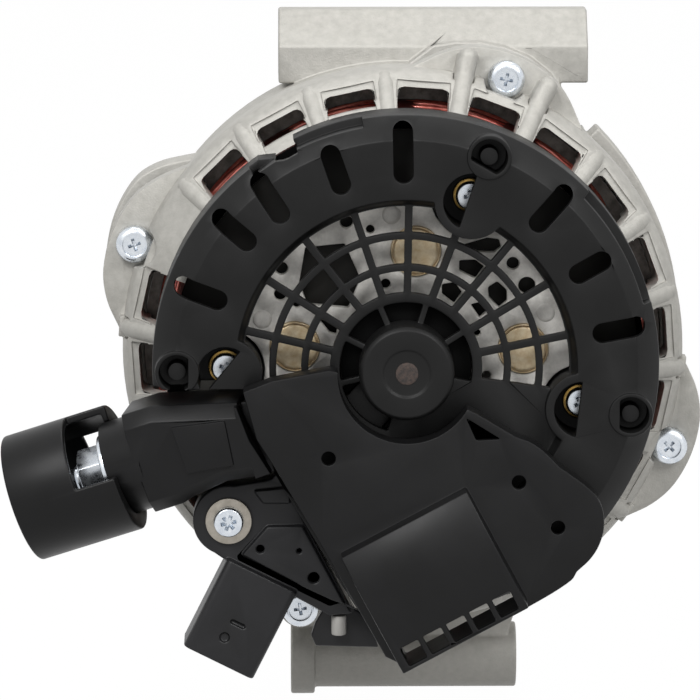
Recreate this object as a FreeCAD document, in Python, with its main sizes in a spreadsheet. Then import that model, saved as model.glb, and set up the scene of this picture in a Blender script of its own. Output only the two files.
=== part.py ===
import FreeCAD, Part
import math
import os
import re

import Sketcher
from FreeCAD import Placement, Rotation, Vector

# A belt-driven car alternator with two internal fans, modelled from its slip-ring end.
# Part frame: +X to the right when the slip-ring end is faced, +Z up, slip-ring end towards -Y.
# The origin lies on the axis of the lower mounting tube, under the shaft.
# Most pieces are drawn in the rear-view frame: its x is +X, its y is up from the shaft axis and
# its z is -Y, so a level is a distance from the plane of the mounting tube towards the viewer.

# Driving sizes in millimetres and degrees.
SIZES = {
    # Overall arrangement
    "shaft_height": 92.5,
    "seat_clearance": 0.05,
    "part_gap": 0.3,
    # Stator
    "stator_radius": 67.0,
    "stator_bore": 53.0,
    "stator_front": 13.0,
    "stator_rear": 46.0,
    "slot_count": 36,
    "slot_bottom": 62.0,
    "slot_width": 3.4,
    "winding_inner": 55.0,
    "winding_outer": 64.3,
    "winding_crown": 60.0,
    "winding_shoulder": 4.5,
    "winding_overhang": 13.5,
    "winding_lift": 0.5,
    # Through bolts and their ears
    "bolt_circle": 74.3,
    "bolt_angle": -21.0,
    "bolt_shank": 2.5,
    "bolt_head_radius": 4.8,
    "bolt_head_height": 3.6,
    "bolt_seat": 50.0,
    "bolt_tip": 6.5,
    "bolt_hole_bottom": 6.2,
    "bolt_hole_clearance": 0.3,
    "spot_face_margin": 0.9,
    "pan_rim_share": 0.45,
    "pan_flat_share": 0.35,
    "ear_radius": 81.0,
    "ear_shoulder_radius": 78.5,
    "ear_crown_angle": 4.5,
    "ear_shoulder_angle": 11.5,
    "ear_foot_angle": 19.0,
    "ear_inner_radius": 67.6,
    # Front housing (drive end shield)
    "front_rim_radius": 69.6,
    "front_rim_end": 16.0,
    "front_band_radius": 74.1,
    "front_band_start": -5.0,
    "front_band_end": 47.0,
    "front_shoulder": -2.0,
    "front_wall_outside": -12.0,
    "front_wall_inside": -7.0,
    "front_flat_radius": 62.0,
    "front_inner_radius": 65.0,
    "front_inner_shoulder": -1.0,
    "front_inner_flat": 58.0,
    "front_boss_radius": 32.0,
    "front_boss_face": -20.0,
    "front_lip_radius": 19.5,
    "front_ear_level": 4.0,
    "front_vent_inner": 36.0,
    "front_vent_outer": 55.0,
    "front_vent_angle": 21.0,
    "front_vent_count": 12,
    "side_vent_inner": 60.0,
    "side_vent_outer": 67.4,
    "side_vent_angle": 11.0,
    # Upper mounting bar
    "bar_left": -31.9,
    "bar_right": 49.9,
    "bar_bottom": 63.9,
    "bar_shoulder": 73.7,
    "bar_top": 82.7,
    "bar_half_depth": 12.0,
    "bar_top_half_depth": 3.5,
    "upper_bore_height": 72.5,
    "upper_bore": 5.25,
    # Lower mounting tube
    "tube_radius": 8.75,
    "tube_left": -28.8,
    "tube_right": 31.8,
    "tube_collar_radius": 10.5,
    "tube_collar_width": 6.4,
    "lower_bore": 5.1,
    "web_left": -24.0,
    "web_right": 27.0,
    "web_top_spread": 14.0,
    "web_top_depth": 52.0,
    "web_half_depth": 6.0,
    # Rear housing (slip-ring end shield)
    "rear_rim_start": 43.0,
    "rim_radius": 72.5,
    "rear_rim_end": 53.5,
    "rear_edge_radius": 71.3,
    "rear_edge_level": 56.8,
    "rear_slope_radius": 61.0,
    "rear_slope_level": 67.5,
    "rear_wall_radius": 57.5,
    "rear_wall_outside": 70.0,
    "rear_wall_inside": 66.3,
    "rear_inner_radius": 65.6,
    "rear_inner_shoulder": 52.0,
    "rear_inner_slope_radius": 58.5,
    "rear_inner_slope_level": 63.6,
    "rear_inner_flat": 54.5,
    "rear_boss_radius": 22.7,
    "rear_boss_level": 57.0,
    "rear_lip": 1.0,
    "rear_lip_radius": 14.0,
    "window_count": 21,
    "window_pitch": 16.3636,
    "window_first_angle": 167.5,
    "window_inner": 56.5,
    "window_outer": 66.4,
    "window_width": 12.6,
    "window_corner": 1.5,
    "window_sill": 4.0,
    "window_frame_outer": 69.8,
    "window_frame_width": 13.8,
    "window_frame_level": 55.5,
    "ear_rib_width": 5.4,
    "ear_rib_outer": 77.4,
    "rim_rib_outer": 73.6,
    "ear_rib_level": 56.0,
    "foot_boss_radius": 5.4,
    "inlet_inner": 26.0,
    "inlet_outer": 43.0,
    "inlet_angle": 35.0,
    "inlet_first_angle": -67.5,
    "inlet_pitch": 45.0,
    "inlet_count": 6,
    # Rotor
    "shaft_radius": 8.5,
    "shaft_front": -57.0,
    "shaft_core_radius": 11.0,
    "shaft_core_start": 4.0,
    "shaft_core_end": 54.0,
    "shaft_ring_radius": 5.5,
    "shaft_ring_start": 69.5,
    "shaft_end": 87.0,
    "rotor_front": 6.0,
    "rotor_rear": 53.0,
    "rotor_radius": 52.4,
    "pole_web": 12.0,
    "pole_web_radius": 43.0,
    "pole_hub_radius": 25.0,
    "claw_root_inner": 41.0,
    "claw_tip_inner": 49.0,
    "claw_root_half_angle": 13.0,
    "claw_tip_half_angle": 6.0,
    "claw_tip_setback": 3.5,
    "claw_count": 6,
    "bobbin_wall": 1.5,
    "coil_radius": 43.6,
    "fan_thickness": 1.2,
    "fan_bore": 16.0,
    "fan_radius": 47.0,
    "fan_blade_inner": 30.0,
    "fan_blade_root_angle": 2.4,
    "fan_blade_tip_angle": 1.5,
    "fan_blade_sweep": 16.0,
    "fan_blade_count": 11,
    "front_blade_height": 5.0,
    "rear_blade_height": 6.0,
    # Bearings
    "front_bearing_radius": 23.5,
    "front_bearing_start": -18.0,
    "front_bearing_width": 14.0,
    "rear_bearing_radius": 17.5,
    "rear_bearing_bore": 7.5,
    "rear_bearing_start": 57.5,
    "rear_bearing_width": 11.0,
    "bearing_ring": 3.5,
    "bearing_seal": 0.8,
    "bearing_seal_recess": 0.5,
    "seal_clearance": 0.3,
    "sleeve_wall": 1.2,
    "retainer_radius": 31.0,
    "retainer_bore": 16.0,
    "retainer_thickness": 1.5,
    "retainer_screw_circle": 27.5,
    "retainer_screw_shank": 2.0,
    "retainer_screw_length": 9.0,
    "retainer_screw_head": 3.3,
    "retainer_screw_head_height": 1.6,
    "collar_radius": 13.0,
    # Pulley
    "pulley_rear": -24.0,
    "pulley_width": 24.0,
    "pulley_radius": 27.0,
    "pulley_flange_radius": 28.5,
    "pulley_flange": 2.2,
    "pulley_rib_pitch": 3.56,
    "pulley_groove_depth": 2.9,
    "pulley_groove_width": 2.4,
    "pulley_groove_count": 5,
    "pulley_recess_radius": 18.0,
    "pulley_recess_depth": 6.0,
    "pulley_nut_flats": 24.0,
    "pulley_nut_height": 9.0,
    # Slip rings and brushes
    "ring_hub_radius": 6.4,
    "ring_radius": 7.4,
    "ring_hub_start": 70.3,
    "ring_hub_end": 85.4,
    "ring_width": 5.6,
    "front_ring_level": 74.2,
    "rear_ring_level": 81.6,
    "brush_angle": 228.0,
    "brush_width": 6.4,
    "brush_thickness": 4.6,
    "brush_length": 17.0,
    "brush_contact_gap": 0.05,
    "brush_play": 0.1,
    "boot_radius": 16.6,
    "boot_wall": 1.4,
    "boot_bore": 8.2,
    "boot_end": 85.2,
    "holder_inner": 10.0,
    "holder_outer": 34.0,
    "holder_half_width": 6.0,
    "holder_wall": 1.3,
    "spring_radius": 2.0,
    "spring_wall": 0.5,
    "lug_offset": 10.5,
    "lug_reach": 28.0,
    "lug_radius": 4.8,
    "lug_tip_half": 2.9,
    # Rectifier
    "sink_thickness": 3.0,
    "negative_inner": 20.5,
    "negative_outer": 39.5,
    "negative_start": -40.0,
    "negative_end": 196.0,
    "positive_level": 79.0,
    "positive_inner": 17.5,
    "positive_outer": 42.5,
    "positive_start": -14.0,
    "positive_end": 199.0,
    "well_notch_margin": 0.6,
    "diode_radius": 6.4,
    "diode_rise": 0.6,
    "wiring_level": 75.2,
    "wiring_thickness": 1.5,
    "wiring_inner": 18.6,
    "wiring_outer": 59.5,
    "wiring_start": -2.0,
    "wiring_end": 184.0,
    "top_diode_x": 2.6,
    "top_diode_y": 29.0,
    "right_diode_x": 29.9,
    "right_diode_y": 3.9,
    "left_diode_x": -28.1,
    "left_diode_y": 4.6,
    "negative_diode_circle": 30.0,
    "negative_diode_first": 46.0,
    "negative_diode_second": 128.0,
    "negative_diode_third": -26.0,
    "rivet_radius": 1.6,
    "rivet_head_radius": 2.4,
    "rivet_head_height": 0.6,
    "spacer_radius": 3.4,
    "top_rivet_x": -3.6,
    "top_rivet_y": 38.3,
    "right_rivet_x": 35.6,
    "right_rivet_y": 13.2,
    "left_rivet_x": -36.4,
    "left_rivet_y": 11.6,
    # Rear cover
    "cover_rim_radius": 64.3,
    "cover_rim_level": 71.0,
    "cover_edge_level": 86.5,
    "cover_face_radius": 58.5,
    "cover_face_level": 92.0,
    "cover_wall": 2.2,
    "cover_edge_inset": 0.9,
    "cover_bevel_inset": 1.5,
    "cover_bevel_radius": 43.4,
    "cover_dish_radius": 41.8,
    "cover_dish_level": 88.5,
    "cover_dish_thickness": 2.5,
    "cover_notch_radius": 62.2,
    "right_notch_start": 15.0,
    "right_notch_end": 44.0,
    "top_notch_start": 100.0,
    "top_notch_end": 128.0,
    "cover_slot_width": 5.0,
    "grille_inner": 19.3,
    "grille_start": -8.0,
    "grille_end": 186.0,
    "grille_bar": 1.8,
    "grille_inner_bar": 25.7,
    "grille_outer_bar": 33.8,
    "grille_spoke_width": 1.9,
    "grille_spoke_first": 11.5,
    "grille_spoke_pitch": 19.4,
    "grille_spoke_count": 9,
    "hub_radius": 12.0,
    "hub_level": 98.0,
    "hub_edge": 1.0,
    "hub_wall": 2.2,
    "hub_dimple_radius": 6.2,
    "hub_dimple_depth": 0.5,
    "hub_gap_outer": 16.8,
    "hub_gap_start": -12.0,
    "hub_gap_end": 254.0,
    "hub_spoke_width": 1.5,
    "hub_spoke_first": 32.5,
    "hub_spoke_pitch": 40.2,
    "hub_spoke_count": 5,
    # Wells for the cover screws
    "well_circle": 45.8,
    "right_well_angle": -13.0,
    "top_well_angle": 69.0,
    "left_well_angle": 181.5,
    "well_radius": 7.2,
    "well_outer_radius": 9.4,
    "well_floor": 3.8,
    "well_boss_level": 74.0,
    "well_boss_radius": 5.4,
    "shield_thickness": 2.4,
    "shield_rise": 0.0,
    "right_shield_angle": -7.0,
    "top_shield_angle": -18.5,
    "left_shield_angle": -39.5,
    "sleeve_radius": 4.3,
    "sleeve_stand": 0.3,
    "cover_screw_shank": 2.0,
    "cover_screw_head": 3.7,
    "cover_screw_head_height": 2.3,
    "peg_circle": 58.0,
    "peg_radius": 5.6,
    "peg_recess_radius": 4.6,
    "peg_recess_depth": 8.0,
    "peg_recess_reach": 128.0,
    "peg_pin_radius": 2.3,
    "peg_pin_depth": 2.5,
    "peg_rise": 0.6,
    "right_peg_angle": -11.5,
    "left_peg_angle": 180.5,
    # Terminal cover (hood)
    "hood_face_level": 100.0,
    "hood_wall": 2.0,
    "hood_hub_radius": 17.4,
    "hood_hole_radius": 1.75,
    "duct_level": 110.0,
    "duct_turn": 28.2,
    "duct_width": 35.8,
    "duct_length": 33.0,
    "duct_ramp": 3.6,
    "duct_origin_x": -0.95,
    "duct_origin_y": -37.0,
    "duct_wall": 1.8,
    "cell_count": 5,
    "cell_size": 5.1,
    "cell_pitch": 6.55,
    "cell_border": 1.0,
    # Battery terminal arm, drawn along its own axis
    "arm_root_x": -44.0,
    "arm_root_y": -17.1,
    "arm_root_level": 84.5,
    "arm_angle": 198.8,
    "arm_tilt": 8.0,
    "arm_half_depth": 12.0,
    "arm_start": -5.3,
    "arm_end": 24.0,
    "arm_top": 14.2,
    "arm_bottom": 12.2,
    "arm_edge": 3.5,
    "arm_neck_radius": 12.25,
    "arm_neck_end": 32.0,
    "arm_pad_rise": 0.9,
    "cap_radius": 16.5,
    "cap_wall": 2.0,
    "cap_start": 29.5,
    "cap_end": 57.0,
    "cap_floor": 1.6,
    "cap_window_end": 40.0,
    "cap_window_low": 92.0,
    "cap_window_high": 184.0,
    "cap_back_window_low": 234.0,
    "cap_back_window_high": 292.0,
    "tongue_level": 7.8,
    "stud_radius": 4.0,
    "stud_start": 2.0,
    "stud_end": 50.0,
    "stud_pilot_radius": 3.3,
    "stud_pilot_start": 42.0,
    "stud_point": 0.6,
    "stud_hole_clearance": 0.3,
    "washer_radius": 9.5,
    "washer_thickness": 1.6,
    "nut_flats": 13.0,
    "nut_height": 6.5,
    "busbar_block": 11.0,
    "busbar_block_length": 12.0,
    "busbar_thickness": 1.6,
    "busbar_width": 9.0,
    "busbar_reach": 19.0,
    # Regulator and its connector
    "regulator_bottom": 77.8,
    "regulator_top": 85.0,
    "regulator_raised": 1.6,
    "regulator_tab_rise": 1.0,
    "regulator_skirt": 2.5,
    "regulator_groove_depth": 1.0,
    "dowel_radius": 1.9,
    "dowel_length": 5.2,
    "dowel_x": -17.0,
    "dowel_y": -64.9,
    "regulator_sink_thickness": 1.6,
    "regulator_screw_x": -45.1,
    "regulator_screw_y": -39.8,
    "regulator_lobe_radius": 9.1,
    "regulator_boss_radius": 5.6,
    "regulator_boss_start": 61.0,
    "regulator_screw_shank": 2.0,
    "regulator_screw_head": 3.85,
    "regulator_screw_head_height": 2.4,
    "regulator_washer_radius": 5.9,
    "regulator_washer_thickness": 1.0,
    "connector_x": -37.0,
    "connector_y": -54.6,
    "connector_angle": 243.3,
    "connector_half_width": 9.9,
    "connector_length": 24.2,
    "connector_overlap": 1.0,
    "connector_bottom": 74.0,
    "connector_top": 88.0,
    "connector_wall": 1.7,
    "connector_edge": 1.8,
    "connector_mark_depth": 0.7,
    "connector_depth": 16.0,
    "pin_width": 1.5,
    "pin_thickness": 0.8,
    "pin_length": 12.0,
    "pin_level": 81.0,
    "pin_pitch": 4.0,
    "pin_count": 3,
}

doc = FreeCAD.newDocument("alternator")
sheet = doc.addObject("Spreadsheet::Sheet", "Sizes")
for row, (alias, size) in enumerate(SIZES.items(), start=1):
    sheet.set(f"A{row}", alias)
    sheet.set(f"B{row}", str(size))
    sheet.setAlias(f"B{row}", alias)
doc.recompute()

WORD = re.compile(r"[a-z][a-z0-9_]*")
TINY = 1e-7


def bind(formula):
    """Point every size that a formula names at its cell in the sheet."""
    return WORD.sub(lambda word: "Sizes." + word.group() if word.group() in SIZES else word.group(), formula)


def number(formula):
    """Value of a formula over the sizes in the sheet."""
    return float(sheet.evalExpression(bind(formula)))


def polar(radius, angle):
    """Formulas of the point at a radius and an angle about the shaft axis."""
    return f"({radius}) * cos({angle})", f"({radius}) * sin({angle})"


def turned(x, y, angle, about=("0", "0")):
    """Formulas of a point given along and across a direction that starts at another point."""
    turned_x = f"{about[0]} + ({x}) * cos({angle}) - ({y}) * sin({angle})"
    turned_y = f"{about[1]} + ({x}) * sin({angle}) + ({y}) * cos({angle})"
    return turned_x, turned_y


# Bodies, sketches and features

def rear_placement():
    """Rear-view frame: x to the right, y up from the shaft axis, z towards the viewer."""
    return Placement(Vector(0, 0, number("shaft_height")), Rotation(Vector(1, 0, 0), 90))


def arm_placement():
    """Frame of the battery arm: x outwards along its axis, z towards the viewer."""
    root = Vector(number("arm_root_x"), number("arm_root_y"), number("arm_root_level"))
    along = Rotation(Vector(0, 0, 1), number("arm_angle"))
    tilt = Rotation(Vector(0, 1, 0), number("arm_tilt"))
    return rear_placement() * Placement(root, along * tilt)


def new_body(label, placement=None):
    body = doc.addObject("PartDesign::Body", label)
    body.Label = label
    body.Placement = placement or rear_placement()
    if placement is None:
        body.setExpression("Placement.Base.z", bind("shaft_height"))
    return body


def sketch_on(body, name, level="0", plane="XY_Plane"):
    sketch = body.newObject("Sketcher::SketchObject", name)
    support = next(item for item in body.Origin.OriginFeatures if item.Role == plane)
    sketch.AttachmentSupport = (support, [""])
    sketch.MapMode = "FlatFace"
    sketch.AttachmentOffset = Placement(Vector(0, 0, number(level)), Rotation())
    sketch.setExpression("AttachmentOffset.Base.z", bind(level))
    return sketch


def hold(sketch, kind, edge, end, formula):
    """Fix one coordinate of a point of the sketch to a formula."""
    value = number(formula)
    if abs(value) < TINY:
        axis = -2 if kind == "DistanceX" else -1
        sketch.addConstraint(Sketcher.Constraint("PointOnObject", edge, end, axis))
        return
    index = sketch.addConstraint(Sketcher.Constraint(kind, -1, 1, edge, end, value))
    sketch.setExpression(f"Constraints[{index}]", bind(formula))


def polygon(sketch, corners):
    """Closed outline of straight edges through corners given as formulas."""
    points = [Vector(number(x), number(y), 0) for x, y in corners]
    first = sketch.GeometryCount
    total = len(points)
    for place, point in enumerate(points):
        sketch.addGeometry(Part.LineSegment(point, points[(place + 1) % total]), False)
    for place, (x, y) in enumerate(corners):
        following = first + (place + 1) % total
        sketch.addConstraint(Sketcher.Constraint("Coincident", first + place, 2, following, 1))
        hold(sketch, "DistanceX", first + place, 1, x)
        hold(sketch, "DistanceY", first + place, 1, y)


def disc(sketch, x, y, radius):
    centre = Vector(number(x), number(y), 0)
    edge = sketch.addGeometry(Part.Circle(centre, Vector(0, 0, 1), number(radius)), False)
    if abs(centre.x) < TINY and abs(centre.y) < TINY:
        sketch.addConstraint(Sketcher.Constraint("Coincident", edge, 3, -1, 1))
    else:
        hold(sketch, "DistanceX", edge, 3, x)
        hold(sketch, "DistanceY", edge, 3, y)
    index = sketch.addConstraint(Sketcher.Constraint("Radius", edge, number(radius)))
    sketch.setExpression(f"Constraints[{index}]", bind(radius))


def arc(sketch, radius, start, end, x="0", y="0"):
    """Arc about a centre, its ends held at two angles."""
    centre = Vector(number(x), number(y), 0)
    size = number(radius)
    turns = math.radians(number(start)), math.radians(number(end))
    circle = Part.Circle(centre, Vector(0, 0, 1), size)
    edge = sketch.addGeometry(Part.ArcOfCircle(circle, *turns), False)
    if abs(centre.x) < TINY and abs(centre.y) < TINY:
        sketch.addConstraint(Sketcher.Constraint("Coincident", edge, 3, -1, 1))
    else:
        hold(sketch, "DistanceX", edge, 3, x)
        hold(sketch, "DistanceY", edge, 3, y)
    index = sketch.addConstraint(Sketcher.Constraint("Radius", edge, size))
    sketch.setExpression(f"Constraints[{index}]", bind(radius))
    for end_mark, turn, angle in ((1, turns[0], start), (2, turns[1], end)):
        if abs(math.sin(turn)) > abs(math.cos(turn)):
            hold(sketch, "DistanceX", edge, end_mark, f"{x} + ({radius}) * cos({angle})")
        else:
            hold(sketch, "DistanceY", edge, end_mark, f"{y} + ({radius}) * sin({angle})")
    return edge


def joined(sketch, first, first_end, second, second_end):
    """Straight edge between the ends of two edges."""
    start = sketch.getPoint(first, first_end)
    finish = sketch.getPoint(second, second_end)
    line = sketch.addGeometry(Part.LineSegment(start, finish), False)
    sketch.addConstraint(Sketcher.Constraint("Coincident", line, 1, first, first_end))
    sketch.addConstraint(Sketcher.Constraint("Coincident", line, 2, second, second_end))


def ring_sector(sketch, inner, outer, start, end, x="0", y="0"):
    near = arc(sketch, inner, start, end, x, y)
    far = arc(sketch, outer, start, end, x, y)
    joined(sketch, near, 1, far, 1)
    joined(sketch, near, 2, far, 2)


def disc_segment(sketch, x, y, radius, start, end):
    """Part of a disc between its edge and a chord."""
    bow = arc(sketch, radius, start, end, x, y)
    joined(sketch, bow, 1, bow, 2)


def radial_box(sketch, inner, outer, width, angle):
    """Rectangle that lies along a radius of the shaft."""
    corners = [(inner, f"-({width}) / 2"), (outer, f"-({width}) / 2")]
    corners += [(outer, f"({width}) / 2"), (inner, f"({width}) / 2")]
    polygon(sketch, [turned(x, y, angle) for x, y in corners])


def round_slot(sketch, angle, inner, outer, half, lean):
    """Slot with round ends about a middle that lies on a radius, leaning from that radius."""
    middle = f"(({inner}) + ({outer})) / 2"
    reach = f"((({outer}) - ({inner})) / 2 - {half})"
    way = f"({angle} + {lean})"
    x, y = polar(middle, angle)
    far = arc(sketch, half, f"{way} - 90", f"{way} + 90", *turned(reach, "0", way, (x, y)))
    near = arc(sketch, half, f"{way} + 90", f"{way} + 270", *turned(f"-{reach}", "0", way, (x, y)))
    joined(sketch, far, 2, near, 1)
    joined(sketch, near, 2, far, 1)


def extrude(body, sketch, kind, length, backwards):
    feature = body.newObject("PartDesign::" + kind, sketch.Name + "_" + kind.lower())
    feature.Profile = sketch
    feature.Length = number(length)
    feature.setExpression("Length", bind(length))
    feature.Reversed = backwards
    sketch.Visibility = False
    return feature


def pad(body, sketch, length, backwards=False):
    return extrude(body, sketch, "Pad", length, backwards)


def pocket(body, sketch, depth, backwards=False):
    return extrude(body, sketch, "Pocket", depth, backwards)


def turn_profile(body, name, corners, kind="Revolution"):
    """Solid of revolution, or a groove, about the shaft axis from (radius, level) corners."""
    sketch = sketch_on(body, name, plane="XZ_Plane")
    polygon(sketch, corners)
    feature = body.newObject("PartDesign::" + kind, name + "_turned")
    feature.Profile = sketch
    feature.ReferenceAxis = (sketch, ["V_Axis"])
    feature.Angle = 360
    sketch.Visibility = False
    return feature


def ring(body, name, inner, outer, start, end):
    """Plain turned ring between two radii and two levels."""
    corners = [(inner, start), (outer, start), (outer, end), (inner, end)]
    return turn_profile(body, name, corners)


def around(body, feature, count, angle="360"):
    """Copies of a feature about the shaft axis."""
    pattern = body.newObject("PartDesign::PolarPattern", feature.Name + "_around")
    pattern.Originals = [feature]
    pattern.Axis = (feature.Profile[0], ["N_Axis"])
    pattern.Angle = number(angle)
    pattern.setExpression("Angle", bind(angle))
    pattern.Occurrences = int(number(count))
    pattern.setExpression("Occurrences", bind(count))
    body.Tip = pattern
    return pattern


def soften(body, kind, size, chosen):
    """Fillet or chamfer the edges of the body's last feature that a test picks."""
    doc.recompute()
    base = body.Tip
    names = [f"Edge{place}" for place, edge in enumerate(base.Shape.Edges, start=1) if chosen(edge)]
    feature = body.newObject("PartDesign::" + kind, f"{body.Label}_{kind.lower()}")
    feature.Base = (base, names)
    value = "Radius" if kind == "Fillet" else "Size"
    setattr(feature, value, number(size))
    feature.setExpression(value, bind(size))
    body.Tip = feature
    return feature


def lies_at(edge, level):
    box = edge.BoundBox
    return abs(box.ZMin - level) < TINY * 100 and abs(box.ZMax - level) < TINY * 100


def write_out(label, shape, placement):
    """Sub-part whose shape comes from Part's own functions."""
    feature = doc.addObject("Part::Feature", label)
    feature.Label = label
    feature.Shape = shape
    feature.Placement = placement
    return feature


BOLT_ANGLES = [f"bolt_angle + {quarter * 90}" for quarter in range(4)]
WELLS = ["right_well_angle", "top_well_angle", "left_well_angle"]
SHIELDS = ["right_shield_angle", "top_shield_angle", "left_shield_angle"]
PEGS = ["right_peg_angle", "top_well_angle", "left_peg_angle"]
PEG_FACINGS = ["0", "60", "180"]
POSITIVE_DIODES = [
    ("top_diode_x", "top_diode_y"),
    ("right_diode_x", "right_diode_y"),
    ("left_diode_x", "left_diode_y"),
]
NEGATIVE_DIODES = [
    polar("negative_diode_circle", "negative_diode_first"),
    polar("negative_diode_circle", "negative_diode_second"),
    polar("negative_diode_circle", "negative_diode_third"),
]
RIVETS = [
    ("top_rivet_x", "top_rivet_y"),
    ("right_rivet_x", "right_rivet_y"),
    ("left_rivet_x", "left_rivet_y"),
]


# Ribs that stand up beside the bolts, by angle and outer radius
EAR_RIBS = [
    ("61.1", "ear_rib_outer"), ("77.5", "ear_rib_outer"), ("-4.3", "rim_rib_outer"),
    ("-37", "rim_rib_outer"), ("175.7", "rim_rib_outer"),
]


# Housings

def add_ears(body, name, rim, start, end):
    """Four ears on the bolt circle, the first drawn and the others turned copies."""
    sketch = sketch_on(body, name, start)
    flank = [("ear_inner_radius", "ear_foot_angle"), (rim, "ear_foot_angle")]
    flank += [("ear_shoulder_radius", "ear_shoulder_angle"), ("ear_radius", "ear_crown_angle")]
    left = [polar(radius, f"bolt_angle + {angle}") for radius, angle in flank]
    right = [polar(radius, f"bolt_angle - {angle}") for radius, angle in reversed(flank)]
    polygon(sketch, left + right)
    return around(body, pad(body, sketch, f"{end} - ({start})"), "4")


def bolt_holes(body, name, level, depth, radius):
    sketch = sketch_on(body, name, level)
    disc(sketch, *polar("bolt_circle", "bolt_angle"), radius)
    return around(body, pocket(body, sketch, depth), "4")


def make_front_housing():
    body = new_body("front_housing")
    turn_profile(body, "front_shell", [
        ("0", "front_boss_face"), ("front_boss_radius", "front_boss_face"),
        ("front_boss_radius", "front_wall_outside"), ("front_flat_radius", "front_wall_outside"),
        ("front_rim_radius", "front_shoulder"), ("front_rim_radius", "front_rim_end"),
        ("0", "front_rim_end"),
    ])
    add_ears(body, "front_ears", "front_rim_radius", "front_ear_level", "front_rim_end")
    band = sketch_on(body, "front_band", "front_ear_level")
    inner = "front_rim_radius - 1"
    ring_sector(band, inner, "front_band_radius", "front_band_start", "front_band_end")
    pad(body, band, "front_rim_end - front_ear_level")

    bar = sketch_on(body, "bar", "bar_left", "YZ_Plane")
    polygon(bar, [
        ("bar_bottom", "bar_half_depth"), ("bar_shoulder", "bar_half_depth"),
        ("bar_top", "bar_top_half_depth"), ("bar_top", "-bar_top_half_depth"),
        ("bar_shoulder", "-bar_half_depth"), ("bar_bottom", "-bar_half_depth"),
    ])
    pad(body, bar, "bar_right - bar_left")

    tube = sketch_on(body, "tube", "tube_left", "YZ_Plane")
    disc(tube, "-shaft_height", "0", "tube_radius")
    pad(body, tube, "tube_right - tube_left")
    collar = sketch_on(body, "tube_collar", "tube_left", "YZ_Plane")
    disc(collar, "-shaft_height", "0", "tube_collar_radius")
    pad(body, collar, "tube_collar_width")
    web = sketch_on(body, "tube_web", "-web_half_depth")
    polygon(web, [
        ("web_left", "-shaft_height"), ("web_right", "-shaft_height"),
        ("web_right + web_top_spread", "-web_top_depth"),
        ("web_left - web_top_spread", "-web_top_depth"),
    ])
    pad(body, web, "2 * web_half_depth")

    turn_profile(body, "front_cavity", [
        ("0", "front_boss_face - 1"), ("front_lip_radius", "front_boss_face - 1"),
        ("front_lip_radius", "front_bearing_start"),
        ("front_bearing_radius + seat_clearance", "front_bearing_start"),
        ("front_bearing_radius + seat_clearance", "front_bearing_start + front_bearing_width"),
        ("front_boss_radius", "front_bearing_start + front_bearing_width"),
        ("front_boss_radius", "front_wall_inside"), ("front_inner_flat", "front_wall_inside"),
        ("front_inner_radius", "front_inner_shoulder"), ("front_inner_radius", "stator_front"),
        ("stator_radius + seat_clearance", "stator_front"),
        ("stator_radius + seat_clearance", "front_rim_end + 1"), ("0", "front_rim_end + 1"),
    ], "Groove")

    bores = sketch_on(body, "tube_bore", "tube_left", "YZ_Plane")
    disc(bores, "-shaft_height", "0", "lower_bore")
    pocket(body, bores, "tube_right - tube_left", backwards=True)
    upper = sketch_on(body, "bar_bore", "bar_left", "YZ_Plane")
    disc(upper, "upper_bore_height", "0", "upper_bore")
    pocket(body, upper, "bar_right - bar_left", backwards=True)

    depth = "front_rim_end - bolt_hole_bottom"
    bolt_holes(body, "front_bolt_holes", "front_rim_end", depth, "bolt_shank + seat_clearance")
    vent = sketch_on(body, "front_vent", "front_wall_inside")
    ring_sector(vent, "front_vent_inner", "front_vent_outer", "-front_vent_angle / 2", "front_vent_angle / 2")
    around(body, pocket(body, vent, "front_wall_inside - front_wall_outside"), "front_vent_count")
    side = sketch_on(body, "side_vent", "front_ear_level - 1")
    ring_sector(side, "side_vent_inner", "side_vent_outer", "-side_vent_angle / 2", "side_vent_angle / 2")
    around(body, pocket(body, side, "front_ear_level - 1 - front_wall_outside"), "front_vent_count")
    holes = sketch_on(body, "retainer_holes", "front_bearing_start + front_bearing_width")
    disc(holes, "retainer_screw_circle", "0", "retainer_screw_shank + seat_clearance")
    around(body, pocket(body, holes, "retainer_screw_length"), "4")
    return body


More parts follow.
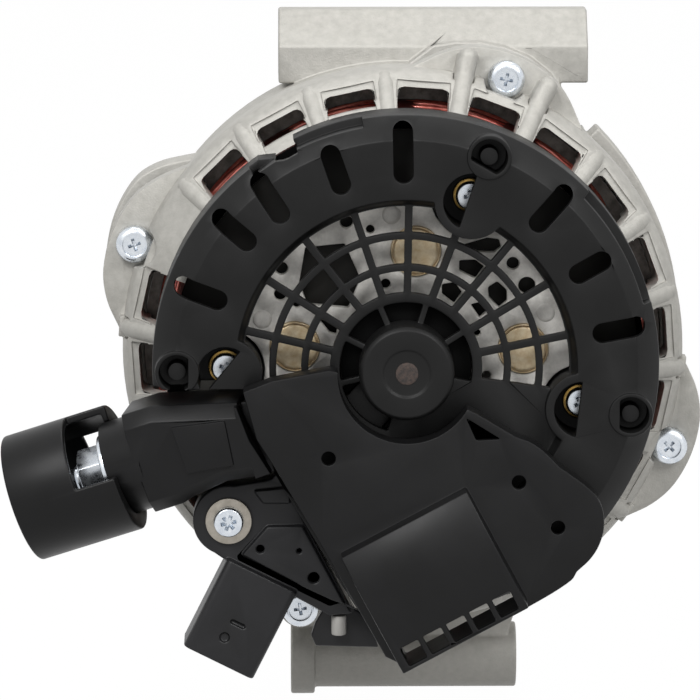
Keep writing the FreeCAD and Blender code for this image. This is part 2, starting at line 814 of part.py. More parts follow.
def make_rear_housing():
    body = new_body("rear_housing")
    turn_profile(body, "rear_shell", [
        ("0", "rear_rim_start"), ("rim_radius", "rear_rim_start"), ("rim_radius", "rear_rim_end"),
        ("rear_edge_radius", "rear_edge_level"), ("rear_slope_radius", "rear_slope_level"),
        ("rear_wall_radius", "rear_wall_outside"), ("0", "rear_wall_outside"),
    ])
    add_ears(body, "rear_ears", "rim_radius", "rear_rim_start", "bolt_seat")
    trim = sketch_on(body, "foot_trim", "bolt_seat")
    foot = "bolt_angle - 90"
    sweep = "(ear_foot_angle + 1)"
    ring_sector(trim, "rim_radius", "ear_radius + 2", f"{foot} - {sweep}", f"{foot} + {sweep}")
    pocket(body, trim, "bolt_seat - rear_rim_start")
    boss = sketch_on(body, "foot_boss", "rear_rim_start")
    disc(boss, *polar("bolt_circle", foot), "foot_boss_radius")
    pad(body, boss, "bolt_seat - rear_rim_start")
    ribs = sketch_on(body, "ear_ribs", "bolt_seat - 1")
    for angle, outer in EAR_RIBS:
        radial_box(ribs, "ear_inner_radius", outer, "ear_rib_width", angle)
    pad(body, ribs, "ear_rib_level - bolt_seat + 1")
    turn_profile(body, "rear_cavity", [
        ("0", "rear_rim_start - 1"), ("stator_radius + seat_clearance", "rear_rim_start - 1"),
        ("stator_radius + seat_clearance", "stator_rear"), ("rear_inner_radius", "stator_rear"),
        ("rear_inner_radius", "rear_inner_shoulder"),
        ("rear_inner_slope_radius", "rear_inner_slope_level"),
        ("rear_inner_flat", "rear_wall_inside"), ("rear_boss_radius", "rear_wall_inside"),
        ("rear_boss_radius", "rear_boss_level"),
        ("rear_bearing_radius + sleeve_wall + seat_clearance", "rear_boss_level"),
        ("rear_bearing_radius + sleeve_wall + seat_clearance", "rear_wall_outside - rear_lip"),
        ("rear_lip_radius", "rear_wall_outside - rear_lip"),
        ("rear_lip_radius", "rear_wall_outside + 1"), ("0", "rear_wall_outside + 1"),
    ], "Groove")

    frame = sketch_on(body, "window_frame", "rear_wall_outside")
    radial_box(frame, "window_outer - 1", "window_frame_outer", "window_frame_width", "window_first_angle")
    span = "window_pitch * (window_count - 1)"
    around(body, pocket(body, frame, "rear_wall_outside - window_frame_level"), "window_count", span)
    window = sketch_on(body, "window", "rear_wall_outside + 1")
    side, inner, outer = "window_width / 2", "window_inner + window_corner", "window_outer - window_corner"
    right = [("window_inner", f"{side} - window_corner"), (inner, side), (outer, side)]
    right.append(("window_outer", f"{side} - window_corner"))
    left = [(x, f"-({y})") for x, y in right[::-1]]
    polygon(window, [turned(x, y, "window_first_angle") for x, y in right + left])
    depth = "rear_wall_outside + 1 - stator_rear - window_sill"
    around(body, pocket(body, window, depth), "window_count", span)
    inlet = sketch_on(body, "air_inlet", "rear_wall_outside")
    start, end = "inlet_first_angle - inlet_angle / 2", "inlet_first_angle + inlet_angle / 2"
    ring_sector(inlet, "inlet_inner", "inlet_outer", start, end)
    depth = "rear_wall_outside - rear_wall_inside"
    around(body, pocket(body, inlet, depth), "inlet_count", "inlet_pitch * (inlet_count - 1)")

    well_bosses = sketch_on(body, "well_bosses", "rear_wall_inside")
    for angle in WELLS:
        disc(well_bosses, *polar("well_circle", angle), "well_boss_radius")
    pad(body, well_bosses, "well_boss_level - rear_wall_inside")
    regulator_boss = sketch_on(body, "regulator_boss", "regulator_boss_start")
    disc(regulator_boss, "regulator_screw_x", "regulator_screw_y", "regulator_boss_radius")
    sink_underside = "regulator_bottom - regulator_sink_thickness"
    pad(body, regulator_boss, f"{sink_underside} - regulator_boss_start")
    lug_boss = sketch_on(body, "lug_boss", "rear_wall_inside")
    disc(lug_boss, *turned("lug_reach", "lug_offset", "brush_angle"), "lug_radius - part_gap")
    pad(body, lug_boss, f"{HOLDER_LOW} - rear_wall_inside")

    spot = sketch_on(body, "spot_faces", "rear_wall_outside")
    disc(spot, *polar("bolt_circle", "bolt_angle"), "bolt_head_radius + spot_face_margin")
    around(body, pocket(body, spot, "rear_wall_outside - bolt_seat"), "4")
    radius = "bolt_shank + bolt_hole_clearance"
    bolt_holes(body, "rear_bolt_holes", "bolt_seat", "bolt_seat - rear_rim_start", radius)
    threads = sketch_on(body, "well_threads", "well_boss_level")
    for angle in WELLS:
        disc(threads, *polar("well_circle", angle), "cover_screw_shank + seat_clearance")
    pocket(body, threads, "well_boss_level - rear_wall_inside")
    thread = sketch_on(body, "regulator_thread", sink_underside)
    disc(thread, "regulator_screw_x", "regulator_screw_y", "regulator_screw_shank + seat_clearance")
    pocket(body, thread, f"{sink_underside} - regulator_boss_start")
    lug_thread = sketch_on(body, "lug_thread", HOLDER_LOW)
    place = turned("lug_reach", "lug_offset", "brush_angle")
    disc(lug_thread, *place, "regulator_screw_shank + seat_clearance")
    pocket(body, lug_thread, f"{HOLDER_LOW} - rear_wall_inside")
    return body


def make_stator():
    core = new_body("stator_core")
    ring(core, "laminations", "stator_bore", "stator_radius", "stator_front", "stator_rear")
    slot = sketch_on(core, "slot", "stator_rear")
    radial_box(slot, "stator_bore - 1", "slot_bottom", "slot_width", "0")
    around(core, pocket(core, slot, "stator_rear - stator_front"), "slot_count")

    winding = new_body("stator_winding")
    near, far = "stator_rear + winding_lift", "stator_rear + winding_overhang"
    turn_profile(winding, "rear_ends", [
        ("winding_inner", near), ("winding_outer", near),
        ("winding_outer", "stator_rear + winding_shoulder"), ("winding_crown", far),
        ("winding_inner", far),
    ])
    near, far = "stator_front - winding_lift", "stator_front - winding_overhang"
    turn_profile(winding, "front_ends", [
        ("winding_inner", near), ("winding_outer", near),
        ("winding_outer", "stator_front - winding_shoulder"), ("winding_crown", far),
        ("winding_inner", far),
    ])
    bars = sketch_on(winding, "slot_bars", "stator_front - winding_lift")
    radial_box(bars, "winding_inner + part_gap", "slot_bottom - part_gap", "slot_width - 2 * part_gap", "0")
    around(winding, pad(winding, bars, "stator_rear - stator_front + 2 * winding_lift"), "slot_count")


def make_through_bolts():
    screws = []
    for angle in BOLT_ANGLES:
        place = polar("bolt_circle", angle)
        screws.append(pan_screw(
            place, "bolt_tip", "bolt_seat", "bolt_shank", "bolt_head_radius", "bolt_head_height",
        ))
    write_out("through_bolts", Part.Compound(screws), rear_placement())


def pan_screw(place, tip, seat, shank, head, height):
    """Screw with a pan head, turned about its own axis at a place."""
    foot, top = number(tip), number(seat)
    thick, wide, tall = number(shank), number(head), number(height)
    rim, flat = tall * number("pan_rim_share"), wide * number("pan_flat_share")
    halfway = math.sqrt(0.5)
    middle = Vector(flat + (wide - flat) * halfway, 0, top + rim + (tall - rim) * halfway)
    points = [
        Vector(flat, 0, top + tall), Vector(0, 0, top + tall), Vector(0, 0, foot), Vector(thick, 0, foot),
        Vector(thick, 0, top), Vector(wide, 0, top), Vector(wide, 0, top + rim),
    ]
    edges = [Part.makeLine(first, second) for first, second in zip(points, points[1:])]
    edges.append(Part.Arc(points[-1], middle, points[0]).toShape())
    solid = Part.Face(Part.Wire(edges)).revolve(Vector(), Vector(0, 0, 1), 360)
    solid.translate(Vector(number(place[0]), number(place[1]), 0))
    return solid


# Bearings

def bearing(label, start, width, outer, bore):
    """Two rings; the outer one carries the seals, which stop short of the inner one."""
    outer_ring = new_body(label + "_outer_ring")
    end = f"{start} + {width}"
    race = f"{outer} - bearing_ring"
    lip = f"{bore} + bearing_ring + seal_clearance"
    recess = "bearing_seal_recess"
    seal = "bearing_seal_recess + bearing_seal"
    turn_profile(outer_ring, label + "_outer_profile", [
        (outer, start), (outer, end), (race, end), (race, f"{end} - {recess}"),
        (lip, f"{end} - {recess}"), (lip, f"{end} - ({seal})"), (race, f"{end} - ({seal})"),
        (race, f"{start} + {seal}"), (lip, f"{start} + {seal}"), (lip, f"{start} + {recess}"),
        (race, f"{start} + {recess}"), (race, start),
    ])
    inner_ring = new_body(label + "_inner_ring")
    ring(inner_ring, label + "_inner_profile", bore, f"{bore} + bearing_ring", start, end)


def make_bearings():
    for label, bore in (("front_bearing", "shaft_radius"), ("rear_bearing", "rear_bearing_bore")):
        bearing(label, f"{label}_start", f"{label}_width", f"{label}_radius", bore)
    sleeve = new_body("rear_bearing_sleeve")
    ring(
        sleeve, "sleeve_profile", "rear_bearing_radius", "rear_bearing_radius + sleeve_wall",
        "rear_bearing_start", "rear_bearing_start + rear_bearing_width",
    )
    retainer = new_body("bearing_retainer")
    seat = "front_bearing_start + front_bearing_width"
    ring(retainer, "retainer_plate", "retainer_bore", "retainer_radius", seat, f"{seat} + retainer_thickness")
    holes = sketch_on(retainer, "retainer_plate_holes", f"{seat} + retainer_thickness")
    disc(holes, "retainer_screw_circle", "0", "retainer_screw_shank + bolt_hole_clearance")
    around(retainer, pocket(retainer, holes, "retainer_thickness"), "4")
    screws = []
    top = f"{seat} + retainer_thickness"
    for quarter in range(4):
        x, y = polar("retainer_screw_circle", f"{quarter * 90}")
        screws.append(pan_screw(
            (x, y), f"{top} - retainer_screw_length", top, "retainer_screw_shank",
            "retainer_screw_head", "retainer_screw_head_height",
        ))
    write_out("retainer_screws", Part.Compound(screws), rear_placement())


# Rotor

def make_shaft():
    shaft = new_body("rotor_shaft")
    turn_profile(shaft, "shaft_profile", [
        ("0", "shaft_front"), ("shaft_radius", "shaft_front"), ("shaft_radius", "shaft_core_start"),
        ("shaft_core_radius", "shaft_core_start"), ("shaft_core_radius", "shaft_core_end"),
        ("rear_bearing_bore", "shaft_core_end"), ("rear_bearing_bore", "shaft_ring_start"),
        ("shaft_ring_radius", "shaft_ring_start"), ("shaft_ring_radius", "shaft_end"), ("0", "shaft_end"),
    ])
    collar = new_body("shaft_collar")
    seat = "front_bearing_start + front_bearing_width"
    ring(collar, "collar_profile", "shaft_radius", "collar_radius", seat, "shaft_core_start")
    spacer = new_body("pulley_spacer")
    ring(spacer, "spacer_profile", "shaft_radius", "collar_radius", "pulley_rear", "front_bearing_start")


def make_claw_poles():
    middle = "(rotor_front + rotor_rear) / 2"
    for label, side, face in (("claw_pole_front", "+", "rotor_front"), ("claw_pole_rear", "-", "rotor_rear")):
        pole = new_body(label)
        web = f"{face} {side} pole_web"
        turn_profile(pole, label + "_web", [
            ("shaft_core_radius", face), ("pole_web_radius", face), ("pole_web_radius", web),
            ("pole_hub_radius", web), ("pole_hub_radius", middle), ("shaft_core_radius", middle),
        ])
        shift = "0" if side == "+" else "180 / claw_count"
        root = sketch_on(pole, label + "_claw_base", face)
        ring_sector(
            root, "claw_root_inner", "rotor_radius",
            f"{shift} - claw_root_half_angle", f"{shift} + claw_root_half_angle",
        )
        around(pole, pad(pole, root, "pole_web", backwards=side == "-"), "claw_count")
        tip_level = "rotor_rear - claw_tip_setback" if side == "+" else "rotor_front + claw_tip_setback"
        claw_foot = sketch_on(pole, label + "_claw_foot", web)
        ring_sector(
            claw_foot, "claw_root_inner + 3", "rotor_radius",
            f"{shift} - claw_root_half_angle", f"{shift} + claw_root_half_angle",
        )
        claw_tip = sketch_on(pole, label + "_claw_tip", tip_level)
        ring_sector(
            claw_tip, "claw_tip_inner", "rotor_radius",
            f"{shift} - claw_tip_half_angle", f"{shift} + claw_tip_half_angle",
        )
        claw = pole.newObject("PartDesign::AdditiveLoft", label + "_claw")
        claw.Profile = claw_foot
        claw.Sections = [claw_tip]
        claw.Ruled = True
        around(pole, claw, "claw_count")

    bobbin = new_body("coil_bobbin")
    start, end = "rotor_front + pole_web", "rotor_rear - pole_web"
    core = "pole_hub_radius + seat_clearance"
    turn_profile(bobbin, "bobbin_profile", [
        (core, start), ("coil_radius", start), ("coil_radius", f"{start} + bobbin_wall"),
        (f"{core} + bobbin_wall", f"{start} + bobbin_wall"),
        (f"{core} + bobbin_wall", f"{end} - bobbin_wall"),
        ("coil_radius", f"{end} - bobbin_wall"), ("coil_radius", end), (core, end),
    ])
    coil = new_body("field_coil")
    ring(
        coil, "coil_profile", f"{core} + bobbin_wall", "coil_radius - part_gap",
        f"{start} + bobbin_wall", f"{end} - bobbin_wall",
    )


def make_fans():
    sides = (
        ("front_fan", "rotor_front", True, "front_blade_height"),
        ("rear_fan", "rotor_rear", False, "rear_blade_height"),
    )
    for label, face, forwards, height in sides:
        fan = new_body(label)
        disc_sketch = sketch_on(fan, label + "_disc", face)
        disc(disc_sketch, "0", "0", "fan_radius")
        disc(disc_sketch, "0", "0", "fan_bore")
        pad(fan, disc_sketch, "fan_thickness", backwards=forwards)
        blade = sketch_on(fan, label + "_blade", face)
        root, tip = polar("fan_blade_inner", "0"), polar("fan_radius - 1", "fan_blade_sweep")
        root_side = polar("fan_blade_inner", "fan_blade_root_angle")
        tip_side = polar("fan_radius - 1", "fan_blade_sweep + fan_blade_tip_angle")
        polygon(blade, [root, tip, tip_side, root_side])
        around(fan, pad(fan, blade, f"fan_thickness + {height}", backwards=forwards), "fan_blade_count")


def make_pulley():
    pulley = new_body("drive_pulley")
    front = "pulley_rear - pulley_width"
    corners = [("shaft_radius", "pulley_rear"), ("pulley_flange_radius", "pulley_rear")]
    corners += [("pulley_flange_radius", "pulley_rear - pulley_flange")]
    corners += [("pulley_radius", "pulley_rear - pulley_flange")]
    first = "(pulley_rear - pulley_width / 2 + pulley_rib_pitch * pulley_groove_count / 2)"
    for groove in range(int(number("pulley_groove_count"))):
        middle = f"{first} - pulley_rib_pitch * ({groove} + 0.5)"
        corners += [("pulley_radius", f"{middle} + pulley_groove_width / 2")]
        corners += [("pulley_radius - pulley_groove_depth", middle)]
        corners += [("pulley_radius", f"{middle} - pulley_groove_width / 2")]
    corners += [(radius, f"{front} + pulley_flange") for radius in ("pulley_radius", "pulley_flange_radius")]
    corners += [("pulley_flange_radius", front), ("pulley_recess_radius", front)]
    recess = f"{front} + pulley_recess_depth"
    corners += [("pulley_recess_radius", recess), ("shaft_radius", recess)]
    turn_profile(pulley, "pulley_profile", corners)

    nut = new_body("pulley_nut")
    outline = sketch_on(nut, "pulley_nut_outline", recess)
    across = "pulley_nut_flats / 2 / cos(30)"
    polygon(outline, [polar(across, f"{side * 60}") for side in range(6)])
    disc(outline, "0", "0", "shaft_radius")
    pad(nut, outline, "pulley_nut_height", backwards=True)


def make_slip_rings():
    hub = new_body("slip_ring_hub")
    half = "ring_width / 2"
    levels = ("front_ring_level", "rear_ring_level")
    corners = [("shaft_ring_radius", "ring_hub_start"), ("ring_radius", "ring_hub_start")]
    for level in levels:
        corners += [("ring_radius", f"{level} - {half}"), ("ring_hub_radius", f"{level} - {half}")]
        corners += [("ring_hub_radius", f"{level} + {half}"), ("ring_radius", f"{level} + {half}")]
    corners += [("ring_radius", "ring_hub_end"), ("shaft_ring_radius", "ring_hub_end")]
    turn_profile(hub, "ring_hub_profile", corners)
    rings = []
    for level in levels:
        foot = Vector(0, 0, number(f"{level} - {half}"))
        outer = Part.makeCylinder(number("ring_radius"), number("ring_width"), foot)
        inner = Part.makeCylinder(number("ring_hub_radius"), number("ring_width"), foot)
        rings.append(outer.cut(inner))
    write_out("slip_rings", Part.Compound(rings), rear_placement())


# Brush gear

def make_boot():
    """Black cup that shields the slip rings, open where the brush holder comes in."""
    boot = new_body("slip_ring_boot")
    inner = "boot_radius - boot_wall"
    turn_profile(boot, "boot_profile", [
        (inner, "rear_wall_outside"), ("boot_radius", "rear_wall_outside"), ("boot_radius", "boot_end"),
        ("boot_bore", "boot_end"), ("boot_bore", "boot_end - boot_wall"), (inner, "boot_end - boot_wall"),
    ])
    mouth = sketch_on(boot, "boot_mouth", "boot_end")
    side = "holder_half_width + part_gap"
    corners = [("0", f"-({side})"), ("boot_radius + 2", f"-({side})"), ("boot_radius + 2", side), ("0", side)]
    polygon(mouth, [turned(x, y, "brush_angle") for x, y in corners])
    pocket(boot, mouth, "boot_end - rear_wall_outside")


def brush_tunnel(level, grow):
    """Half width, lower level and upper level of a rectangle round a brush."""
    half = f"brush_thickness / 2 + {grow}"
    return f"brush_width / 2 + {grow}", f"{level} - ({half})", f"{level} + {half}"


def radial_block(label, inner, outer, half_width, low, high):
    """Block along the brush direction, between two reaches, two sides and two levels."""
    body = new_body(label)
    outline = sketch_on(body, label + "_outline", low)
    corners = [(inner, f"-({half_width})"), (outer, f"-({half_width})")]
    corners += [(outer, half_width), (inner, half_width)]
    polygon(outline, [turned(x, y, "brush_angle") for x, y in corners])
    pad(body, outline, f"{high} - ({low})")
    return body


HOLDER_LOW = "front_ring_level - brush_thickness / 2 - brush_play - holder_wall"


def make_brush_gear():
    low = HOLDER_LOW
    high = "rear_ring_level + brush_thickness / 2 + brush_play + holder_wall"
    holder = radial_block("brush_holder", "holder_inner", "holder_outer", "holder_half_width", low, high)
    lug = sketch_on(holder, "holder_lug", low)
    near, far, side = "lug_reach - lug_radius", "lug_reach + lug_radius", "holder_half_width - 1"
    tip = "lug_offset + lug_radius"
    corners = [(near, side), (far, side), (far, "lug_offset"), ("lug_reach + lug_tip_half", tip)]
    corners += [("lug_reach - lug_tip_half", tip), (near, "lug_offset")]
    polygon(lug, [turned(x, y, "brush_angle") for x, y in corners])
    pad(holder, lug, "2 * holder_wall")
    lug_hole = sketch_on(holder, "holder_lug_hole", f"{low} + 2 * holder_wall")
    place = turned("lug_reach", "lug_offset", "brush_angle")
    disc(lug_hole, *place, "regulator_screw_shank + bolt_hole_clearance")
    pocket(holder, lug_hole, "2 * holder_wall")
    for name, level in (("brush_1", "front_ring_level"), ("brush_2", "rear_ring_level")):
        half, bottom, top = brush_tunnel(level, "brush_play")
        tunnel = sketch_on(holder, name + "_tunnel", top)
        corners = [("holder_inner - 1", f"-({half})"), ("holder_outer - holder_wall", f"-({half})")]
        corners += [("holder_outer - holder_wall", half), ("holder_inner - 1", half)]
        polygon(tunnel, [turned(x, y, "brush_angle") for x, y in corners])
        pocket(holder, tunnel, f"{top} - ({bottom})")
        half, bottom, top = brush_tunnel(level, "0")
        contact = "ring_radius + brush_contact_gap"
        brush = radial_block(name, contact, f"{contact} + brush_length", half, bottom, top)
        face = sketch_on(brush, name + "_face", top)
        disc(face, "0", "0", contact)
        pocket(brush, face, f"{top} - ({bottom})")

    start = number("ring_radius + brush_contact_gap + brush_length")
    end = number("holder_outer - holder_wall")
    turn = Rotation(Vector(0, 0, 1), number("brush_angle"))
    way = turn.multVec(Vector(1, 0, 0))
    for label, level in (("brush_spring_1", "front_ring_level"), ("brush_spring_2", "rear_ring_level")):
        foot = turn.multVec(Vector(start, 0, number(level)))
        outer = Part.makeCylinder(number("spring_radius"), end - start, foot, way)
        inner = Part.makeCylinder(number("spring_radius - spring_wall"), end - start, foot, way)
        write_out(label, outer.cut(inner), rear_placement())


# Rectifier

def well_notches(body, name, level, depth):
    notches = sketch_on(body, name, level)
    for angle in WELLS:
        disc(notches, *polar("well_circle", angle), "well_outer_radius + well_notch_margin")
    return pocket(body, notches, depth)


def sink_holes(body, name, level, places, radius):
    """Holes through a heat sink, a fit's clearance larger than what goes in them."""
    sketch = sketch_on(body, name, level)
    for x, y in places:
        disc(sketch, x, y, f"{radius} + seat_clearance")
    return pocket(body, sketch, "sink_thickness")


def make_rectifier():
    negative = new_body("negative_heat_sink")
    outline = sketch_on(negative, "negative_outline", "rear_wall_outside")
    ring_sector(outline, "negative_inner", "negative_outer", "negative_start", "negative_end")
    pad(negative, outline, "sink_thickness")
    top = "rear_wall_outside + sink_thickness"
    sink_holes(negative, "negative_diode_holes", top, NEGATIVE_DIODES, "diode_radius")
    sink_holes(negative, "negative_rivet_holes", top, RIVETS, "rivet_radius")
    boss_notches = sketch_on(negative, "negative_boss_notches", top)
    for angle in WELLS:
        disc(boss_notches, *polar("well_circle", angle), "well_boss_radius + part_gap")
    pocket(negative, boss_notches, "sink_thickness")

    positive = new_body("positive_heat_sink")
    outline = sketch_on(positive, "positive_outline", "positive_level")
    ring_sector(outline, "positive_inner", "positive_outer", "positive_start", "positive_end")
    pad(positive, outline, "sink_thickness")
    top = "positive_level + sink_thickness"
    well_notches(positive, "positive_well_notches", top, "sink_thickness")
    sink_holes(positive, "positive_diode_holes", top, POSITIVE_DIODES, "diode_radius")
    sink_holes(positive, "positive_rivet_holes", top, RIVETS, "rivet_radius")
    vents = sketch_on(positive, "positive_vents", top)
    for x, y, radius in AIR_HOLES:
        disc(vents, x, y, radius)
    for corners in AIR_SLOTS:
        polygon(vents, corners)
    pocket(positive, vents, "sink_thickness")
    relief = sketch_on(positive, "positive_arm_relief", top)
    polygon(relief, TERMINAL_RELIEF)
    pocket(positive, relief, "sink_thickness")

    plate = new_body("diode_wiring_plate")
    outline = sketch_on(plate, "wiring_outline", "wiring_level")
    ring_sector(outline, "wiring_inner", "wiring_outer", "wiring_start", "wiring_end")
    pad(plate, outline, "wiring_thickness")
    top = "wiring_level + wiring_thickness"
    spacer_holes = sketch_on(plate, "wiring_spacer_holes", top)
    for x, y in RIVETS:
        disc(spacer_holes, x, y, "spacer_radius + part_gap")
    pocket(plate, spacer_holes, "wiring_thickness")
    well_notches(plate, "wiring_notches", top, "wiring_thickness")

    sets = (
        ("positive_diodes", POSITIVE_DIODES, top, "positive_level + sink_thickness + diode_rise"),
        ("negative_diodes", NEGATIVE_DIODES, "rear_wall_outside + part_gap", "wiring_level"),
    )
    for label, places, foot, crown in sets:
        low, high = number(foot), number(crown)
        cups = [
            Part.makeCylinder(number("diode_radius"), high - low, Vector(number(x), number(y), low))
            for x, y in places
        ]
        write_out(label, Part.Compound(cups), rear_placement())

    spacers, rivets = [], []
    for x, y in RIVETS:
        place = Vector(number(x), number(y), number("rear_wall_outside + sink_thickness"))
        height = number("positive_level") - place.z
        hole = Part.makeCylinder(number("rivet_radius + seat_clearance"), height, place)
        spacers.append(Part.makeCylinder(number("spacer_radius"), height, place).cut(hole))
        foot = Vector(place.x, place.y, number("rear_wall_outside + part_gap"))
        crown = Vector(place.x, place.y, number("positive_level + sink_thickness"))
        shank = Part.makeCylinder(number("rivet_radius"), crown.z - foot.z, foot)
        head = Part.makeCylinder(number("rivet_head_radius"), number("rivet_head_height"), crown)
        rivets.append(shank.fuse(head).removeSplitter())
    write_out("heat_sink_spacers", Part.Compound(spacers), rear_placement())
    write_out("heat_sink_rivets", Part.Compound(rivets), rear_placement())


# Air holes of the positive heat sink: x, y and radius, then straight-sided ones by their corners
AIR_HOLES = [
    ("-15", "36.5", "1.65"), ("-31.5", "24.7", "1.65"), ("27.2", "25.8", "1.6"), ("30.8", "20.1", "2.2"),
    ("18.2", "8", "0.9"), ("20.6", "-3", "1.2"), ("-31.8", "18", "1.6"), ("-27.7", "15.6", "1.1"),
    ("-9", "34.6", "1.1"), ("-5.1", "20.6", "1.3"),
]
AIR_SLOTS = [
    [("-25", "15.5"), ("-14.5", "14.5"), ("-11.5", "22"), ("-15.5", "31"), ("-25.5", "30"), ("-27", "21")],
    [("14.4", "30.6"), ("20.6", "32.4"), ("23.6", "32"), ("24.2", "30"), ("22.4", "28.6"), ("18.3", "28.8")],
    [("13.6", "26.6"), ("17.6", "26.8"), ("20", "25"), ("17.8", "21.9"), ("13.6", "24")],
    [("9.2", "20.5"), ("12.4", "21"), ("14.4", "18.4"), ("12.4", "15.4"), ("9.2", "17.9")],
    [("20.9", "19.7"), ("23.2", "21.2"), ("25.6", "19.1"), ("25.8", "16.2"), ("23.8", "14.4"),
     ("21.2", "17.2")],
    [("16.5", "15.3"), ("18.8", "15.9"), ("20.6", "13.6"), ("18.8", "11.8")],
    [("-22.6", "12.2"), ("-20.6", "12.2"), ("-17.4", "9.2"), ("-17.6", "7.6"), ("-19.4", "8.2")],
]


# Rear cover

def make_rear_cover():
    cover = new_body("rear_cover")
    dish_bottom = "cover_dish_level - cover_dish_thickness"
    turn_profile(cover, "cover_shell", [
        ("0", "cover_dish_level"), ("cover_dish_radius", "cover_dish_level"),
        ("cover_bevel_radius", "cover_face_level"), ("cover_face_radius", "cover_face_level"),
        ("cover_rim_radius", "cover_edge_level"), ("cover_rim_radius", "cover_rim_level"),
        ("cover_rim_radius - cover_wall", "cover_rim_level"),
        ("cover_rim_radius - cover_wall", "cover_edge_level - cover_edge_inset"),
        ("cover_face_radius - cover_edge_inset", "cover_face_level - cover_wall"),
        ("cover_bevel_radius + cover_bevel_inset", "cover_face_level - cover_wall"),
        ("cover_dish_radius + cover_bevel_inset", dish_bottom), ("0", dish_bottom),
    ])
    dish = "cover_dish_thickness"
    opening = sketch_on(cover, "grille_opening", "cover_dish_level")
    ring_sector(opening, "grille_inner", "cover_dish_radius - 0.4", "grille_start", "grille_end")
    pocket(cover, opening, dish)
    bars = sketch_on(cover, "grille_bars", dish_bottom)
    for middle in ("grille_inner_bar", "grille_outer_bar"):
        low, high = f"{middle} - grille_bar / 2", f"{middle} + grille_bar / 2"
        ring_sector(bars, low, high, "grille_start - 1", "grille_end + 1")
    pad(cover, bars, dish)
    spoke = sketch_on(cover, "grille_spoke", dish_bottom)
    outer = "(cover_dish_radius + 0.4)"
    radial_box(spoke, "grille_inner - 0.5", outer, "grille_spoke_width", "grille_spoke_first")
    span = "grille_spoke_pitch * (grille_spoke_count - 1)"
    around(cover, pad(cover, spoke, dish), "grille_spoke_count", span)

    gap = sketch_on(cover, "hub_gap", "cover_dish_level")
    ring_sector(gap, "hub_radius", "hub_gap_outer", "hub_gap_start", "hub_gap_end")
    pocket(cover, gap, dish)
    hub_spoke = sketch_on(cover, "hub_spoke", dish_bottom)
    radial_box(hub_spoke, "hub_radius - 0.5", "hub_gap_outer + 0.5", "hub_spoke_width", "hub_spoke_first")
    span = "hub_spoke_pitch * (hub_spoke_count - 1)"
    around(cover, pad(cover, hub_spoke, dish), "hub_spoke_count", span)
    turn_profile(cover, "hub_button", [
        ("0", dish_bottom), ("hub_radius", dish_bottom), ("hub_radius", "hub_level - hub_edge"),
        ("hub_radius - hub_edge", "hub_level"), ("hub_dimple_radius", "hub_level"),
        ("hub_dimple_radius - hub_dimple_depth", "hub_level - hub_dimple_depth"),
        ("0", "hub_level - hub_dimple_depth"),
    ])
    turn_profile(cover, "hub_hollow", [
        ("0", f"{dish_bottom} - 1"), ("hub_radius - hub_wall", f"{dish_bottom} - 1"),
        ("hub_radius - hub_wall", "hub_level - hub_wall - hub_dimple_depth"),
        ("0", "hub_level - hub_wall - hub_dimple_depth"),
    ], "Groove")

    slots = sketch_on(cover, "cover_slots", "cover_face_level")
    for angle, inner, outer, lean in COVER_SLOTS:
        round_slot(slots, angle, inner, outer, "cover_slot_width / 2", lean)
    pocket(cover, slots, "cover_face_level - cover_edge_level + cover_wall + 4")

    walls = sketch_on(cover, "well_walls", "well_boss_level")
    for angle in WELLS:
        disc(walls, *polar("well_circle", angle), "well_outer_radius")
    pad(cover, walls, "cover_face_level - well_boss_level")
    wells = sketch_on(cover, "wells", "cover_face_level")
    for angle in WELLS:
        disc(wells, *polar("well_circle", angle), "well_radius")
    pocket(cover, wells, "cover_face_level - well_boss_level - well_floor")
    holes = sketch_on(cover, "well_holes", "well_boss_level + well_floor")
    for angle in WELLS:
        disc(holes, *polar("well_circle", angle), "sleeve_radius + seat_clearance")
    pocket(cover, holes, "well_floor")
    shields = sketch_on(cover, "well_shields", "cover_face_level + shield_rise - shield_thickness")
    for angle, facing in zip(WELLS, SHIELDS):
        x, y = polar("well_circle", angle)
        disc_segment(shields, x, y, "well_outer_radius - 0.5", f"{facing} - 96", f"{facing} + 96")
    pad(cover, shields, "shield_thickness")

    pegs = sketch_on(cover, "pegs", "cover_edge_level - 2")
    for angle in PEGS:
        disc(pegs, *polar("peg_circle", angle), "peg_radius")
    pad(cover, pegs, "cover_face_level + peg_rise - cover_edge_level + 2")
    recesses = sketch_on(cover, "peg_recesses", "cover_face_level + peg_rise")
    for angle, facing in zip(PEGS, PEG_FACINGS):
        x, y = polar("peg_circle", angle)
        low, high = f"{facing} - peg_recess_reach", f"{facing} + peg_recess_reach"
        disc_segment(recesses, x, y, "peg_recess_radius", low, high)
    pocket(cover, recesses, "peg_recess_depth")
    pins = sketch_on(cover, "peg_pins", "cover_face_level + peg_rise - peg_recess_depth - 1")
    for angle in PEGS:
        disc(pins, *polar("peg_circle", angle), "peg_pin_radius")
    pad(cover, pins, "peg_recess_depth + 1 - peg_pin_depth")

    notches = sketch_on(cover, "rim_notches", "cover_face_level + peg_rise")
    ring_sector(notches, "cover_notch_radius", "cover_rim_radius + 8", "right_notch_start", "right_notch_end")
    ring_sector(notches, "cover_notch_radius", "cover_rim_radius + 8", "top_notch_start", "top_notch_end")
    pocket(cover, notches, "cover_face_level + peg_rise - cover_edge_level + 5")
    relief = sketch_on(cover, "terminal_relief", "hub_level")
    polygon(relief, TERMINAL_RELIEF)
    pocket(cover, relief, "hub_level - cover_rim_level + 2")
    return cover


# Slots of the cover: angle of the middle, inner and outer radius, and lean from the radius
COVER_SLOTS = [
    ("10.7", "47.9", "61.4", "0"), ("29.4", "47.4", "58.9", "0"), ("48.4", "47.7", "61.9", "0"),
    ("90.9", "47.6", "63", "0"), ("109.3", "47.6", "60.4", "0"), ("128.2", "48.6", "62.6", "-5"),
    ("140.6", "49.6", "62.8", "-1"), ("159.3", "48.5", "62.6", "0"),
]
